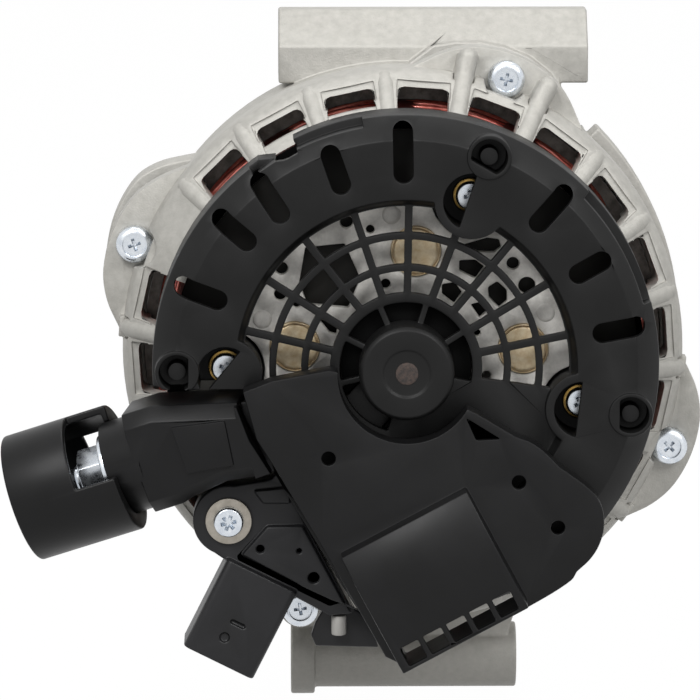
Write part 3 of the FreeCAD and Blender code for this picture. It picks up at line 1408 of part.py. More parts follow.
# Where the arm and the regulator pass, the cover is cut away along these corners
TERMINAL_RELIEF = [
    ("-85", "-4.8"), ("-39.8", "-4.8"), ("-33.4", "-26.5"), ("-17.6", "-53"), ("-2.6", "-80"), ("-85", "-80"),
]


def make_cover_screws():
    seat = "well_boss_level + well_floor + sleeve_stand"
    sleeves, screws = [], []
    for angle in WELLS:
        x, y = polar("well_circle", angle)
        place = Vector(number(x), number(y), number("well_boss_level"))
        height = number("well_floor + sleeve_stand")
        bore = Part.makeCylinder(number("cover_screw_shank + seat_clearance"), height, place)
        sleeves.append(Part.makeCylinder(number("sleeve_radius"), height, place).cut(bore))
        screws.append(pan_screw(
            (x, y), "rear_wall_inside + part_gap", seat, "cover_screw_shank",
            "cover_screw_head", "cover_screw_head_height",
        ))
    write_out("cover_sleeves", Part.Compound(sleeves), rear_placement())
    write_out("cover_screws", Part.Compound(screws), rear_placement())


# Terminal cover

# Corners of the hood in the rear view, from its left end along the top, round the right lobe and back
HOOD_OUTLINE = [
    ("-41.3", "-4.2"), ("-34", "-1.4"), ("-19.6", "1.3"), ("-14", "0"), ("10", "-6"), ("17.9", "-10"),
    ("27.5", "-15.8"), ("32.7", "-17.6"), ("38.6", "-23.6"), ("46.2", "-28.9"), ("49.2", "-33"),
    ("50", "-37.4"), ("49.4", "-42"), ("47", "-46.8"), ("43", "-50.4"), ("41.4", "-53.4"),
    ("25.3", "-62.6"), ("-0.6", "-74.6"), ("-5.4", "-72.2"), ("-21.5", "-43.6"), ("-34", "-22.5"),
    ("-37.9", "-16.3"),
]
HOOD_HOLES = [("-19.8", "-21.2"), ("28.2", "-27.4"), ("38.1", "-39")]
HOOD_RECESS = [("14.9", "-11"), ("17.4", "-16.6"), ("23.4", "-16.3")]


def duct_box(sketch, top, bottom, left, right):
    """Rectangle in the duct's own directions: along its fall from its upper edge, and across it."""
    origin = ("duct_origin_x", "duct_origin_y")
    corners = [(left, f"-({top})"), (right, f"-({top})"), (right, f"-({bottom})"), (left, f"-({bottom})")]
    polygon(sketch, [turned(x, y, "duct_turn", origin) for x, y in corners])


def soften_ramp(hood):
    """Slope the duct's upper wall by a long chamfer of its top edge."""
    doc.recompute()
    base = hood.Tip
    top = number("duct_level")
    x, y = (number(part) for part in turned("0", "-0.01", "duct_turn", ("duct_origin_x", "duct_origin_y")))
    names = [
        f"Edge{place}" for place, edge in enumerate(base.Shape.Edges, start=1)
        if lies_at(edge, top) and edge.distToShape(Part.Vertex(x, y, top))[0] < 0.1
    ]
    ramp = hood.newObject("PartDesign::Chamfer", "duct_ramp")
    ramp.Base = (base, names)
    ramp.ChamferType = "Two distances"
    ramp.Size = number("duct_ramp")
    ramp.setExpression("Size", bind("duct_ramp"))
    ramp.Size2 = number("duct_level - hood_face_level - part_gap")
    ramp.setExpression("Size2", bind("duct_level - hood_face_level - part_gap"))
    hood.Tip = ramp


def make_terminal_cover():
    hood = new_body("terminal_cover")
    outline = sketch_on(hood, "hood_outline", "cover_face_level")
    polygon(outline, HOOD_OUTLINE)
    pad(hood, outline, "hood_face_level - cover_face_level")
    hub = sketch_on(hood, "hood_hub_arc", "hood_face_level")
    disc(hub, "0", "0", "hood_hub_radius")
    pocket(hood, hub, "hood_face_level - cover_face_level")
    doc.recompute()
    base = hood.Tip
    level = number("cover_face_level")
    under = [
        f"Face{place}" for place, face in enumerate(base.Shape.Faces, start=1)
        if abs(face.BoundBox.ZMax - level) < TINY * 100
    ]
    shell = hood.newObject("PartDesign::Thickness", "hood_shell")
    shell.Base = (base, under)
    shell.Value = number("hood_wall")
    shell.setExpression("Value", bind("hood_wall"))
    shell.Join = 1
    shell.Reversed = True
    hood.Tip = shell

    half = "duct_width / 2"
    duct = sketch_on(hood, "duct", "cover_face_level")
    duct_box(duct, "0", "duct_length", f"-{half}", half)
    pad(hood, duct, "duct_level - cover_face_level")
    soften_ramp(hood)
    room = sketch_on(hood, "duct_room", "cover_face_level")
    inside = "duct_width / 2 - duct_wall"
    duct_box(room, "duct_ramp + duct_wall", "duct_length - cell_border", f"-({inside})", inside)
    pocket(hood, room, "duct_level - cover_face_level - duct_wall", backwards=True)
    cells = sketch_on(hood, "duct_cells", "duct_level")
    bottom = "duct_length - cell_border"
    for cell in range(int(number("cell_count"))):
        left = f"(cell_pitch * ({cell} - (cell_count - 1) / 2) - cell_size / 2)"
        duct_box(cells, f"{bottom} - cell_size", bottom, left, f"{left} + cell_size")
    pocket(hood, cells, "duct_wall")
    holes = sketch_on(hood, "hood_holes", "hood_face_level")
    for x, y in HOOD_HOLES:
        disc(holes, x, y, "hood_hole_radius")
    polygon(holes, HOOD_RECESS)
    pocket(hood, holes, "hood_wall")
    return hood


# Battery terminal arm and what it carries

def arm_turned(body, name, corners, kind="Revolution"):
    """Turned shape about the arm's axis from (distance, radius) corners."""
    sketch = sketch_on(body, name)
    polygon(sketch, corners)
    feature = body.newObject("PartDesign::" + kind, name + "_turned")
    feature.Profile = sketch
    feature.ReferenceAxis = (sketch, ["H_Axis"])
    feature.Angle = 360
    sketch.Visibility = False
    return feature


# The arm's inner end reaches over the cover to the hood's edge along these corners
ARM_TONGUE = [("-4.6", "-8"), ("-5.4", "-7.6"), ("-5.7", "1.3"), ("-8.1", "11"), ("-4", "11.1")]


def make_terminal_arm():
    arm = new_body("battery_terminal_arm", arm_placement())
    outline = sketch_on(arm, "arm_outline", "-arm_half_depth")
    polygon(outline, [
        ("arm_start", "-8.5"), ("16.1", "-arm_top"), ("arm_end", "-arm_top"), ("arm_end", "arm_bottom"),
        ("16.3", "arm_bottom"), ("13.2", "11.3"), ("3.6", "10.1"), ("arm_start", "11.5"),
    ])
    pad(arm, outline, "2 * arm_half_depth")
    soften(arm, "Chamfer", "arm_edge", lambda edge: (
        (lies_at(edge, number("arm_half_depth")) or lies_at(edge, -number("arm_half_depth")))
        and edge.BoundBox.XLength > 2
    ))
    tongue = sketch_on(arm, "arm_tongue", "tongue_level")
    polygon(tongue, ARM_TONGUE)
    pad(arm, tongue, "arm_half_depth - tongue_level")
    neck = sketch_on(arm, "arm_neck", "arm_end - 1", "YZ_Plane")
    disc(neck, "0", "0", "arm_neck_radius")
    pad(arm, neck, "arm_neck_end - arm_end + 1")
    plate = sketch_on(arm, "arm_plate", "arm_half_depth - 1")
    polygon(plate, [("-1.5", "-5.5"), ("12", "-8"), ("12", "4.5"), ("0", "6")])
    pad(arm, plate, "arm_pad_rise + 1")
    room = sketch_on(arm, "arm_room", "arm_start", "YZ_Plane")
    half = "busbar_block / 2 + part_gap"
    polygon(room, [(f"-({half})", f"-({half})"), (half, f"-({half})"), (half, half), (f"-({half})", half)])
    pocket(arm, room, "busbar_block_length + part_gap - arm_start", backwards=True)
    hole = sketch_on(arm, "arm_stud_hole", "arm_neck_end", "YZ_Plane")
    disc(hole, "0", "0", "stud_radius + stud_hole_clearance")
    pocket(arm, hole, "arm_neck_end - busbar_block_length")

    cap = new_body("terminal_cap", arm_placement())
    inner = "cap_radius - cap_wall"
    bore = "arm_neck_radius + seat_clearance"
    arm_turned(cap, "cap_profile", [
        ("cap_start", bore), ("cap_start", "cap_radius"), ("cap_end", "cap_radius"), ("cap_end", inner),
        ("cap_start + cap_floor", inner), ("cap_start + cap_floor", bore),
    ])
    for name, start, low, high in (
        ("cap_window", "cap_start - 1", "cap_window_low", "cap_window_high"),
        ("cap_back_window", "cap_start + cap_floor", "cap_back_window_low", "cap_back_window_high"),
    ):
        window = sketch_on(cap, name, start, "YZ_Plane")
        ring_sector(window, "arm_neck_radius - 1", "cap_radius + 2", low, high)
        pocket(cap, window, f"cap_window_end - ({start})", backwards=True)

    stud = new_body("battery_stud", arm_placement())
    arm_turned(stud, "stud_profile", [
        ("stud_start", "0"), ("stud_start", "stud_radius"),
        ("stud_pilot_start - stud_point", "stud_radius"), ("stud_pilot_start", "stud_pilot_radius"),
        ("stud_end - stud_point", "stud_pilot_radius"), ("stud_end", "stud_pilot_radius - stud_point"),
        ("stud_end", "0"),
    ])
    washer = new_body("battery_washer", arm_placement())
    face = sketch_on(washer, "washer_face", "arm_neck_end", "YZ_Plane")
    disc(face, "0", "0", "washer_radius")
    disc(face, "0", "0", "stud_radius + seat_clearance")
    pad(washer, face, "washer_thickness")
    nut = new_body("battery_nut", arm_placement())
    hexagon = sketch_on(nut, "nut_outline", "arm_neck_end + washer_thickness", "YZ_Plane")
    across = "nut_flats / 2 / cos(30)"
    polygon(hexagon, [polar(across, f"{side * 60}") for side in range(6)])
    disc(hexagon, "0", "0", "stud_radius + seat_clearance")
    pad(nut, hexagon, "nut_height")


def make_busbar():
    """Strip on the positive heat sink that ends in the block that the stud screws into."""
    side, length = number("busbar_block"), number("busbar_block_length")
    block = Part.makeBox(length, side, side, Vector(0, -side / 2, -side / 2))
    reach = number("stud_start")
    radius = number("stud_radius + seat_clearance")
    block = block.cut(Part.makeCylinder(radius, length, Vector(reach, 0, 0), Vector(1, 0, 0)))
    block.Placement = rear_placement().inverse() * arm_placement()
    inward, width = number("busbar_reach"), number("busbar_width")
    thickness = number("busbar_thickness")
    strip = Part.makeBox(inward + reach / 4, width, thickness, Vector(-inward, -width / 2, 0))
    foot = Vector(number("arm_root_x"), number("arm_root_y"), number("positive_level + sink_thickness"))
    strip.Placement = Placement(foot, Rotation(Vector(0, 0, 1), number("arm_angle")))
    write_out("battery_busbar", block.fuse(strip).removeSplitter(), rear_placement())


# Regulator

REGULATOR_OUTLINE = [
    ("-51.4", "-46.3"), ("-46.8", "-49.5"), ("-19.3", "-64.6"), ("-13.6", "-64"), ("-28.6", "-34.5"),
    ("-28.6", "-29.4"), ("-34.5", "-29.2"), ("-43.7", "-30.8"), ("-50", "-32.2"),
]
REGULATOR_RAISED = [
    ("-35.2", "-41.1"), ("-41.6", "-48.4"), ("-21.3", "-59.4"), ("-15.4", "-61.5"), ("-26.2", "-41"),
]
REGULATOR_TAB = [("-38.6", "-32"), ("-36.3", "-35.2"), ("-29.4", "-35.2"), ("-29.4", "-31")]
REGULATOR_SKIRT = [
    ("-20.5", "-63"), ("-22.9", "-67.1"), ("-24.1", "-70.6"), ("-22.9", "-73.4"), ("-6.8", "-73.9"),
    ("-9", "-66"), ("-14.2", "-63"),
]
REGULATOR_GROOVE = [("-42.6", "-49"), ("-42", "-50.2"), ("-19", "-61.7"), ("-18.4", "-60.5")]
REGULATOR_HOLES = [("-37", "-46.9", "1"), ("-27.1", "-47.4", "0.6"), ("-23.4", "-54.4", "1.4")]
REGULATOR_SINK = [
    ("-50", "-43.5"), ("-46.5", "-47.6"), ("-27.5", "-57.2"), ("-21", "-62.5"), ("-11.8", "-66"),
    ("-14.6", "-61"), ("-13.2", "-59.8"), ("-23.6", "-41.2"), ("-28", "-31.2"), ("-44", "-32.4"), ("-50", "-34"),
]


def make_regulator():
    body = new_body("regulator_housing")
    outline = sketch_on(body, "regulator_outline", "regulator_bottom")
    polygon(outline, REGULATOR_OUTLINE)
    pad(body, outline, "regulator_top - regulator_bottom")
    lobe = sketch_on(body, "regulator_lobe", "regulator_bottom")
    disc(lobe, "regulator_screw_x", "regulator_screw_y", "regulator_lobe_radius")
    pad(body, lobe, "regulator_top - regulator_bottom")
    neck = sketch_on(body, "regulator_neck", "regulator_bottom")
    corners = [("holder_outer", "-holder_half_width"), ("holder_outer + 14", "-holder_half_width")]
    corners += [("holder_outer + 14", "holder_half_width"), ("holder_outer", "holder_half_width")]
    polygon(neck, [turned(x, y, "brush_angle") for x, y in corners])
    pad(body, neck, "regulator_top - regulator_bottom")
    raised = sketch_on(body, "regulator_plate", "regulator_top")
    polygon(raised, REGULATOR_RAISED)
    pad(body, raised, "regulator_raised")
    tab = sketch_on(body, "regulator_tab", "regulator_top")
    polygon(tab, REGULATOR_TAB)
    pad(body, tab, "regulator_tab_rise")
    skirt = sketch_on(body, "regulator_skirt", "regulator_bottom")
    polygon(skirt, REGULATOR_SKIRT)
    pad(body, skirt, "regulator_skirt")
    marks = sketch_on(body, "regulator_marks", "regulator_top + regulator_raised")
    polygon(marks, REGULATOR_GROOVE)
    for x, y, radius in REGULATOR_HOLES:
        disc(marks, x, y, radius)
    pocket(body, marks, "regulator_raised + regulator_groove_depth")

    root = ("connector_x", "connector_y")
    shell = sketch_on(body, "connector_shell", "connector_bottom")
    half = "connector_half_width"
    corners = [("-connector_overlap", f"-{half}"), ("connector_length", f"-{half}")]
    corners += [("connector_length", half), ("-connector_overlap", half)]
    polygon(shell, [turned(x, y, "connector_angle", root) for x, y in corners])
    pad(body, shell, "connector_top - connector_bottom")
    soften(body, "Fillet", "connector_edge", lambda edge: (
        edge.Length > number("connector_length") - 1 and lies_at(edge, number("connector_top"))
    ))
    socket = sketch_on(body, "connector_socket", "connector_top - connector_wall")
    half = "connector_half_width - connector_wall"
    corners = [("connector_length - connector_depth", f"-({half})"), ("connector_length + 1", f"-({half})")]
    corners += [("connector_length + 1", half), ("connector_length - connector_depth", half)]
    polygon(socket, [turned(x, y, "connector_angle", root) for x, y in corners])
    pocket(body, socket, "connector_top - connector_bottom - 2 * connector_wall")
    marks = sketch_on(body, "connector_marks", "connector_top")
    corners = [("12.4", "-2"), ("13.4", "-2"), ("13.4", "2"), ("12.4", "2")]
    polygon(marks, [turned(x, y, "connector_angle", root) for x, y in corners])
    disc(marks, *turned("17.5", "-1.5", "connector_angle", root), "1.2")
    pocket(body, marks, "connector_mark_depth")
    hole = sketch_on(body, "regulator_hole", "regulator_top")
    disc(hole, "regulator_screw_x", "regulator_screw_y", "regulator_screw_shank + bolt_hole_clearance")
    pocket(body, hole, "regulator_top - regulator_bottom")

    sink = new_body("regulator_heat_sink")
    outline = sketch_on(sink, "regulator_sink_outline", "regulator_bottom - regulator_sink_thickness")
    polygon(outline, REGULATOR_SINK)
    pad(sink, outline, "regulator_sink_thickness")
    hole = sketch_on(sink, "regulator_sink_hole", "regulator_bottom")
    disc(hole, "regulator_screw_x", "regulator_screw_y", "regulator_screw_shank + bolt_hole_clearance")
    pocket(sink, hole, "regulator_sink_thickness")

    lug_place = turned("lug_reach", "lug_offset", "brush_angle")
    seats = (
        (("regulator_screw_x", "regulator_screw_y"), "regulator_boss_start + part_gap",
         "regulator_top + regulator_washer_thickness"),
        (lug_place, "rear_wall_inside + part_gap", f"{HOLDER_LOW} + 2 * holder_wall"),
    )
    screws = []
    for place, tip, seat in seats:
        screws.append(pan_screw(
            place, tip, seat, "regulator_screw_shank", "regulator_screw_head", "regulator_screw_head_height",
        ))
    write_out("regulator_screws", Part.Compound(screws), rear_placement())
    place = Vector(number("regulator_screw_x"), number("regulator_screw_y"), number("regulator_top"))
    thickness = number("regulator_washer_thickness")
    bore = Part.makeCylinder(number("regulator_screw_shank + seat_clearance"), thickness, place)
    washer = Part.makeCylinder(number("regulator_washer_radius"), thickness, place).cut(bore)
    write_out("regulator_washer", washer, rear_placement())
    rest = number("regulator_bottom + regulator_skirt + dowel_radius + seat_clearance")
    foot = Vector(number("dowel_x"), number("dowel_y"), rest)
    radius, length = number("dowel_radius"), number("dowel_length")
    write_out("regulator_dowel", Part.makeCylinder(radius, length, foot, Vector(0, -1, 0)), rear_placement())
    make_connector_pins()


def make_connector_pins():
    """Flat blades side by side on the floor of the connector socket."""
    length, width, thick = number("pin_length"), number("pin_width"), number("pin_thickness")
    floor = number("connector_length - connector_depth")
    blades = []
    for pin in range(int(number("pin_count"))):
        side = number(f"pin_pitch * ({pin} - (pin_count - 1) / 2)")
        blades.append(Part.makeBox(length, width, thick, Vector(floor, side - width / 2, -thick / 2)))
    root = Vector(number("connector_x"), number("connector_y"), number("pin_level"))
    turn = Rotation(Vector(0, 0, 1), number("connector_angle"))
    write_out("connector_pins", Part.Compound(blades), rear_placement() * Placement(root, turn))


def main():
    make_front_housing()
    make_rear_housing()
    make_stator()
    make_through_bolts()
    make_bearings()
    make_shaft()
    make_claw_poles()
    make_fans()
    make_pulley()
    make_slip_rings()
    make_boot()
    make_brush_gear()
    make_rectifier()
    make_rear_cover()
    make_cover_screws()
    make_terminal_cover()
    make_terminal_arm()
    make_busbar()
    make_regulator()
    doc.recompute()
    check_and_write()


def check_and_write():
    """Stop on a failed feature or a bad shape, then write one file for each sub-part."""
    for item in doc.Objects:
        if "Invalid" in item.State or "Error" in item.State:
            raise RuntimeError(f"{item.Name} did not compute: {item.State}")
    os.makedirs("parts", exist_ok=True)
    pieces = [item for item in doc.Objects if item.TypeId in ("PartDesign::Body", "Part::Feature")]
    for piece in pieces:
        shape = piece.Shape
        if shape.isNull() or not shape.isValid():
            raise RuntimeError(f"{piece.Label} has a bad shape")
        shape.exportStep(f"parts/{piece.Label}.step")
        print(f"{piece.Label}: {len(shape.Solids)} solids, {shape.Volume:.0f} mm3")


main()
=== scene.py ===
import math

import bpy
from mathutils import Matrix, Vector


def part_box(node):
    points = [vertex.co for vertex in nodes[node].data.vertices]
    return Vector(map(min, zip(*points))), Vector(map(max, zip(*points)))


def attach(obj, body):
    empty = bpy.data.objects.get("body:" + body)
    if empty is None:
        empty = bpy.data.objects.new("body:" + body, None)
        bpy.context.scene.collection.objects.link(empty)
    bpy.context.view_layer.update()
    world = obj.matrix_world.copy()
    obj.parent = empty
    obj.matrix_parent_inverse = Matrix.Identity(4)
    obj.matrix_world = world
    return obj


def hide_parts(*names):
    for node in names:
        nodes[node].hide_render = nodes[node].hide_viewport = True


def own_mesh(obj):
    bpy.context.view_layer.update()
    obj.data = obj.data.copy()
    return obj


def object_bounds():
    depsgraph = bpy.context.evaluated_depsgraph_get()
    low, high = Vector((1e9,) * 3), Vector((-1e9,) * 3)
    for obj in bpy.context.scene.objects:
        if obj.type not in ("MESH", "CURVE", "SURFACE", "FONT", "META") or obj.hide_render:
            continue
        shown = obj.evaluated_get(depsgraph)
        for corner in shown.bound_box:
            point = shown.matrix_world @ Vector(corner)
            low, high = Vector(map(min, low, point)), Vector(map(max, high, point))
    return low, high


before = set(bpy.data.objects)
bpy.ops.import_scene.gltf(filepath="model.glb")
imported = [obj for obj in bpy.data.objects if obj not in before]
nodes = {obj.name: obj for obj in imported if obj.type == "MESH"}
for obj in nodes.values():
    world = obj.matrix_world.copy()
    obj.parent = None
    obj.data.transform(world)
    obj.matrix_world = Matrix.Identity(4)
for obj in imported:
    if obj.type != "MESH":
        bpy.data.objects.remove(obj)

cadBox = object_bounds()
mm = 0.001

# The rear-view frame of the drawing: x to the right, y up from the shaft, z from the
# mounting tube's plane towards the viewer. Sizes are in millimetres until they are placed.
shaftHeight = 92.5
rearView = Matrix.Translation((0, 0, shaftHeight * mm)) @ Matrix.Rotation(math.radians(90), 4, "X")
arm = {"root": (-44.0, -17.1, 84.5), "angle": 198.8, "tilt": 8.0}
alongArm = (
    rearView @ Matrix.Translation(Vector(arm["root"]) * mm)
    @ Matrix.Rotation(math.radians(arm["angle"]), 4, "Z") @ Matrix.Rotation(math.radians(arm["tilt"]), 4, "Y")
)


def around(radius, angle):
    turn = math.radians(angle)
    return radius * math.cos(turn), radius * math.sin(turn)


# Materials: the common name of the real one, and what its surface gives the eye

def linear(hexColour):
    parts = [int(hexColour[place:place + 2], 16) / 255 for place in (1, 3, 5)]
    spread = [part / 12.92 if part <= 0.04045 else ((part + 0.055) / 1.055) ** 2.4 for part in parts]
    return (*spread, 1.0)


def addNode(tree, kind, settings=None, inputs=None):
    node = tree.nodes.new(kind)
    for name, value in (settings or {}).items():
        setattr(node, name, value)
    for name, value in (inputs or {}).items():
        if isinstance(value, bpy.types.NodeSocket):
            tree.links.new(value, node.inputs[name])
        else:
            node.inputs[name].default_value = value
    return node


def newMaterial(name):
    material = bpy.data.materials.new(name)
    material.use_nodes = True
    tree = material.node_tree
    tree.nodes.clear()
    shader = addNode(tree, "ShaderNodeBsdfPrincipled")
    output = addNode(tree, "ShaderNodeOutputMaterial", {}, {"Surface": shader.outputs[0]})
    place = addNode(tree, "ShaderNodeTexCoord")
    return material, tree, shader, place.outputs["Object"]


def perMetre(size):
    return 1000.0 / size  # a noise of this scale has features of that many millimetres


def grainy(name, colours, patch, grain, rough, metallic, bump, depth, tint=0.5, ior=1.5, specular=0.5):
    # Colour drifts over patches, roughness with it, and a fine grain stands up by a few hundredths
    material, tree, shader, place = newMaterial(name)
    drift = addNode(tree, "ShaderNodeTexNoise", {}, {
        "Vector": place, "Scale": perMetre(patch), "Detail": 5.0, "Roughness": 0.6})
    ramp = addNode(tree, "ShaderNodeValToRGB", {}, {"Fac": drift.outputs["Fac"]})
    ramp.color_ramp.elements[0].position = 0.5 - tint / 2
    ramp.color_ramp.elements[1].position = 0.5 + tint / 2
    ramp.color_ramp.elements[0].color = linear(colours[0])
    ramp.color_ramp.elements[1].color = linear(colours[1])
    fine = addNode(tree, "ShaderNodeTexNoise", {}, {
        "Vector": place, "Scale": perMetre(grain), "Detail": 3.0, "Roughness": 0.55})
    shine = addNode(tree, "ShaderNodeMapRange", {}, {
        "Value": drift.outputs["Fac"], "From Min": 0.3, "From Max": 0.7,
        "To Min": rough[0], "To Max": rough[1]})
    relief = addNode(tree, "ShaderNodeBump", {}, {
        "Height": fine.outputs["Fac"], "Strength": bump, "Distance": depth * mm})
    tree.links.new(ramp.outputs["Color"], shader.inputs["Base Color"])
    tree.links.new(shine.outputs["Result"], shader.inputs["Roughness"])
    tree.links.new(relief.outputs["Normal"], shader.inputs["Normal"])
    shader.inputs["Metallic"].default_value = metallic
    if metallic < 0.5:
        shader.inputs["IOR"].default_value = ior
        shader.inputs["Specular IOR Level"].default_value = specular
    return material


# Die-cast aluminium, shot-blasted: warm light grey, matt, with a sandy grain
castAluminium = grainy(
    "castAluminium", ("#a7a59f", "#bab8b2"), 2.4, 0.5, (0.5, 0.66), 0.35, 0.6, 0.14, tint=0.4)
# Rolled aluminium sheet of the heat sinks: duller grey with stains from handling
sheetAluminium = grainy(
    "sheetAluminium", ("#cbc8c2", "#f2efe9"), 2.6, 0.4, (0.46, 0.62), 0.1, 0.35, 0.06, tint=0.4)
# Glass-filled polyamide from a spark-eroded mould: black, satin, very fine texture
blackPolyamide = grainy(
    "blackPolyamide", ("#0c0c0c", "#141414"), 12.0, 0.35, (0.4, 0.52), 0.0, 0.28, 0.05,
    ior=1.53, specular=0.2)
# Polyamide that is smoother and a little greyer, of the hood and the cap
hoodPolyamide = grainy(
    "hoodPolyamide", ("#0a0a0a", "#121213"), 16.0, 0.3, (0.34, 0.46), 0.0, 0.2, 0.04,
    ior=1.53, specular=0.2)
# Polyamide of the regulator and its connector: dark grey
regulatorPolyamide = grainy(
    "regulatorPolyamide", ("#1a1a1b", "#262628"), 14.0, 0.3, (0.36, 0.48), 0.0, 0.22, 0.04,
    ior=1.53, specular=0.25)
# Soft polyamide in the dark behind the hub's cells; its near-black, almost unshining colour is partly painted
# shade, here and in the plate under the cover's rim
bootPolyamideAndShade = grainy(
    "bootPolyamideAndShade", ("#040404", "#070707"), 9.0, 0.35, (0.6, 0.75), 0.0, 0.2, 0.04,
    ior=1.53, specular=0.06)
# Zinc-plated steel, blue passivated: bright with a cool cast
zincSteel = grainy("zincSteel", ("#c3cad3", "#e6eaee"), 2.2, 0.25, (0.2, 0.36), 1.0, 0.12, 0.02)
# Turned and ground bearing steel
bearingSteel = grainy("bearingSteel", ("#a6a8ab", "#c2c4c6"), 4.0, 0.2, (0.16, 0.26), 1.0, 0.06, 0.01)
# Plain mild steel of the shaft, the collars and the stamped fans
plainSteel = grainy("plainSteel", ("#7f7d7b", "#a3a19e"), 6.0, 0.4, (0.34, 0.5), 1.0, 0.16, 0.03)
# Forged rotor iron under a thin clear varnish: dark with a brown cast
rotorIron = grainy("rotorIron", ("#4a4541", "#6a645e"), 7.0, 0.6, (0.4, 0.56), 0.8, 0.3, 0.08)
# Phosphated and painted pulley steel
pulleySteel = grainy("pulleySteel", ("#1f2022", "#2f3032"), 8.0, 0.4, (0.34, 0.5), 0.35, 0.2, 0.04)
# Moulding resin of the diode wiring plate and its spacers
wiringResin = grainy(
    "wiringResin", ("#100f0c", "#1a1814"), 6.0, 0.4, (0.5, 0.62), 0.0, 0.2, 0.05, specular=0.25)
# Natural polyamide of the coil bobbin and the bearing sleeve: cream
creamPolyamide = grainy("creamPolyamide", ("#b7ab92", "#d0c6af"), 7.0, 0.5, (0.42, 0.55), 0.0, 0.15, 0.04)
# Nickelled copper cups of the diodes: pale beige metal with finger stains
diodeCopper = grainy(
    "diodeCopper", ("#cfb384", "#f5e6c8"), 1.8, 0.3, (0.36, 0.52), 0.25, 0.15, 0.03, tint=0.45)
# Brass of the cover's sleeves and of the rivets
rivetBrass = grainy("rivetBrass", ("#b08a45", "#d8b873"), 2.4, 0.25, (0.22, 0.38), 1.0, 0.1, 0.02)
# Drawn copper of the slip rings, polished by the brushes
ringCopper = grainy("ringCopper", ("#a5603f", "#c98462"), 3.0, 0.2, (0.18, 0.3), 1.0, 0.08, 0.01)
# Tinned copper of the bar and the connector's blades
tinnedCopper = grainy("tinnedCopper", ("#b6ada0", "#d6cfc4"), 2.6, 0.3, (0.25, 0.4), 1.0, 0.1, 0.02)
# Pressed carbon of the brushes
pressedCarbon = grainy("pressedCarbon", ("#17171a", "#25252a"), 2.0, 0.2, (0.45, 0.6), 0.2, 0.2, 0.03)
# Baked varnish that fills the winding between its wires: very dark red-brown
bakedVarnish = grainy("bakedVarnish", ("#2c100e", "#4d1a16"), 5.0, 0.6, (0.4, 0.55), 0.0, 0.3, 0.08)
# Torn gate mark in the middle of the hub's face: brownish and rough
gateMark = grainy("gateMark", ("#1a1513", "#4a3d37"), 1.3, 0.3, (0.6, 0.75), 0.0, 0.7, 0.2, tint=0.3)
# Light grey acetal of the small dowel by the regulator
greyAcetal = grainy("greyAcetal", ("#b3b1ac", "#cbc9c4"), 6.0, 0.4, (0.4, 0.5), 0.0, 0.12, 0.03)
# Grey zinc-nickel plating of the regulator's washer
greyPlating = grainy("greyPlating", ("#8d877d", "#b0aaa0"), 2.0, 0.25, (0.35, 0.5), 0.9, 0.2, 0.03)
print("plain materials ready")


def laminatedSteelMaterial():
    # Stacked electrical sheets, 0.65 mm each, drawn 1.1 mm apart so that they show, with rust specks
    material, tree, shader, place = newMaterial("laminatedSteel")
    axes = addNode(tree, "ShaderNodeSeparateXYZ", {}, {"Vector": place})
    sheets = addNode(tree, "ShaderNodeMath", {"operation": "MULTIPLY"}, {
        0: axes.outputs["Y"], 1: 2 * math.pi * perMetre(1.1)})
    wave = addNode(tree, "ShaderNodeMath", {"operation": "SINE"}, {0: sheets.outputs[0]})
    specks = addNode(tree, "ShaderNodeTexNoise", {}, {
        "Vector": place, "Scale": perMetre(3.0), "Detail": 6.0, "Roughness": 0.65})
    ramp = addNode(tree, "ShaderNodeValToRGB", {}, {"Fac": specks.outputs["Fac"]})
    ramp.color_ramp.elements[0].position = 0.35
    ramp.color_ramp.elements[0].color = linear("#4b4744")
    ramp.color_ramp.elements[1].position = 0.7
    ramp.color_ramp.elements[1].color = linear("#77726d")
    rust = ramp.color_ramp.elements.new(0.82)
    rust.color = linear("#6d4a35")
    relief = addNode(tree, "ShaderNodeBump", {}, {
        "Height": wave.outputs[0], "Strength": 0.6, "Distance": 0.12 * mm})
    tree.links.new(ramp.outputs["Color"], shader.inputs["Base Color"])
    tree.links.new(relief.outputs["Normal"], shader.inputs["Normal"])
    shader.inputs["Metallic"].default_value = 0.75
    shader.inputs["Roughness"].default_value = 0.46
    return material


def enamelledCopperMaterial():
    # Copper wire under red enamel and a clear impregnating resin: glossy, darker where resin pools, with pale
    # pink patches that are painted sheen for the wires' glints
    material, tree, shader, place = newMaterial("enamelledCopper")
    poolsAndSheen = addNode(tree, "ShaderNodeTexNoise", {}, {
        "Vector": place, "Scale": perMetre(4.5), "Detail": 4.0, "Roughness": 0.6})
    ramp = addNode(tree, "ShaderNodeValToRGB", {}, {"Fac": poolsAndSheen.outputs["Fac"]})
    ramp.color_ramp.elements[0].position = 0.32
    ramp.color_ramp.elements[0].color = linear("#a5352c")
    ramp.color_ramp.elements[1].position = 0.68
    # The pale pink end is painted sheen, lighter than the enamel itself
    ramp.color_ramp.elements[1].color = linear("#f09484")
    tree.links.new(ramp.outputs["Color"], shader.inputs["Base Color"])
    shader.inputs["Metallic"].default_value = 0.45
    shader.inputs["Roughness"].default_value = 0.3
    shader.inputs["Coat Weight"].default_value = 0.7
    shader.inputs["Coat Roughness"].default_value = 0.12
    return material


laminatedSteel = laminatedSteelMaterial()
enamelledCopper = enamelledCopperMaterial()
print("patterned materials ready")


# Small helpers over Blender's own operators

weld = 0.00001  # metres between points that are made one
drawnWeld = 0.000004  # the same in a drawn piece, whose small edges have to stay
sharpFrom = 38.0  # degrees between two faces whose edge is broken


def camelName(node):
    first, *rest = node.split("_")
    return first + "".join(word.capitalize() for word in rest)


def turned(angle):
    return rearView @ Matrix.Rotation(math.radians(angle), 4, "Z")


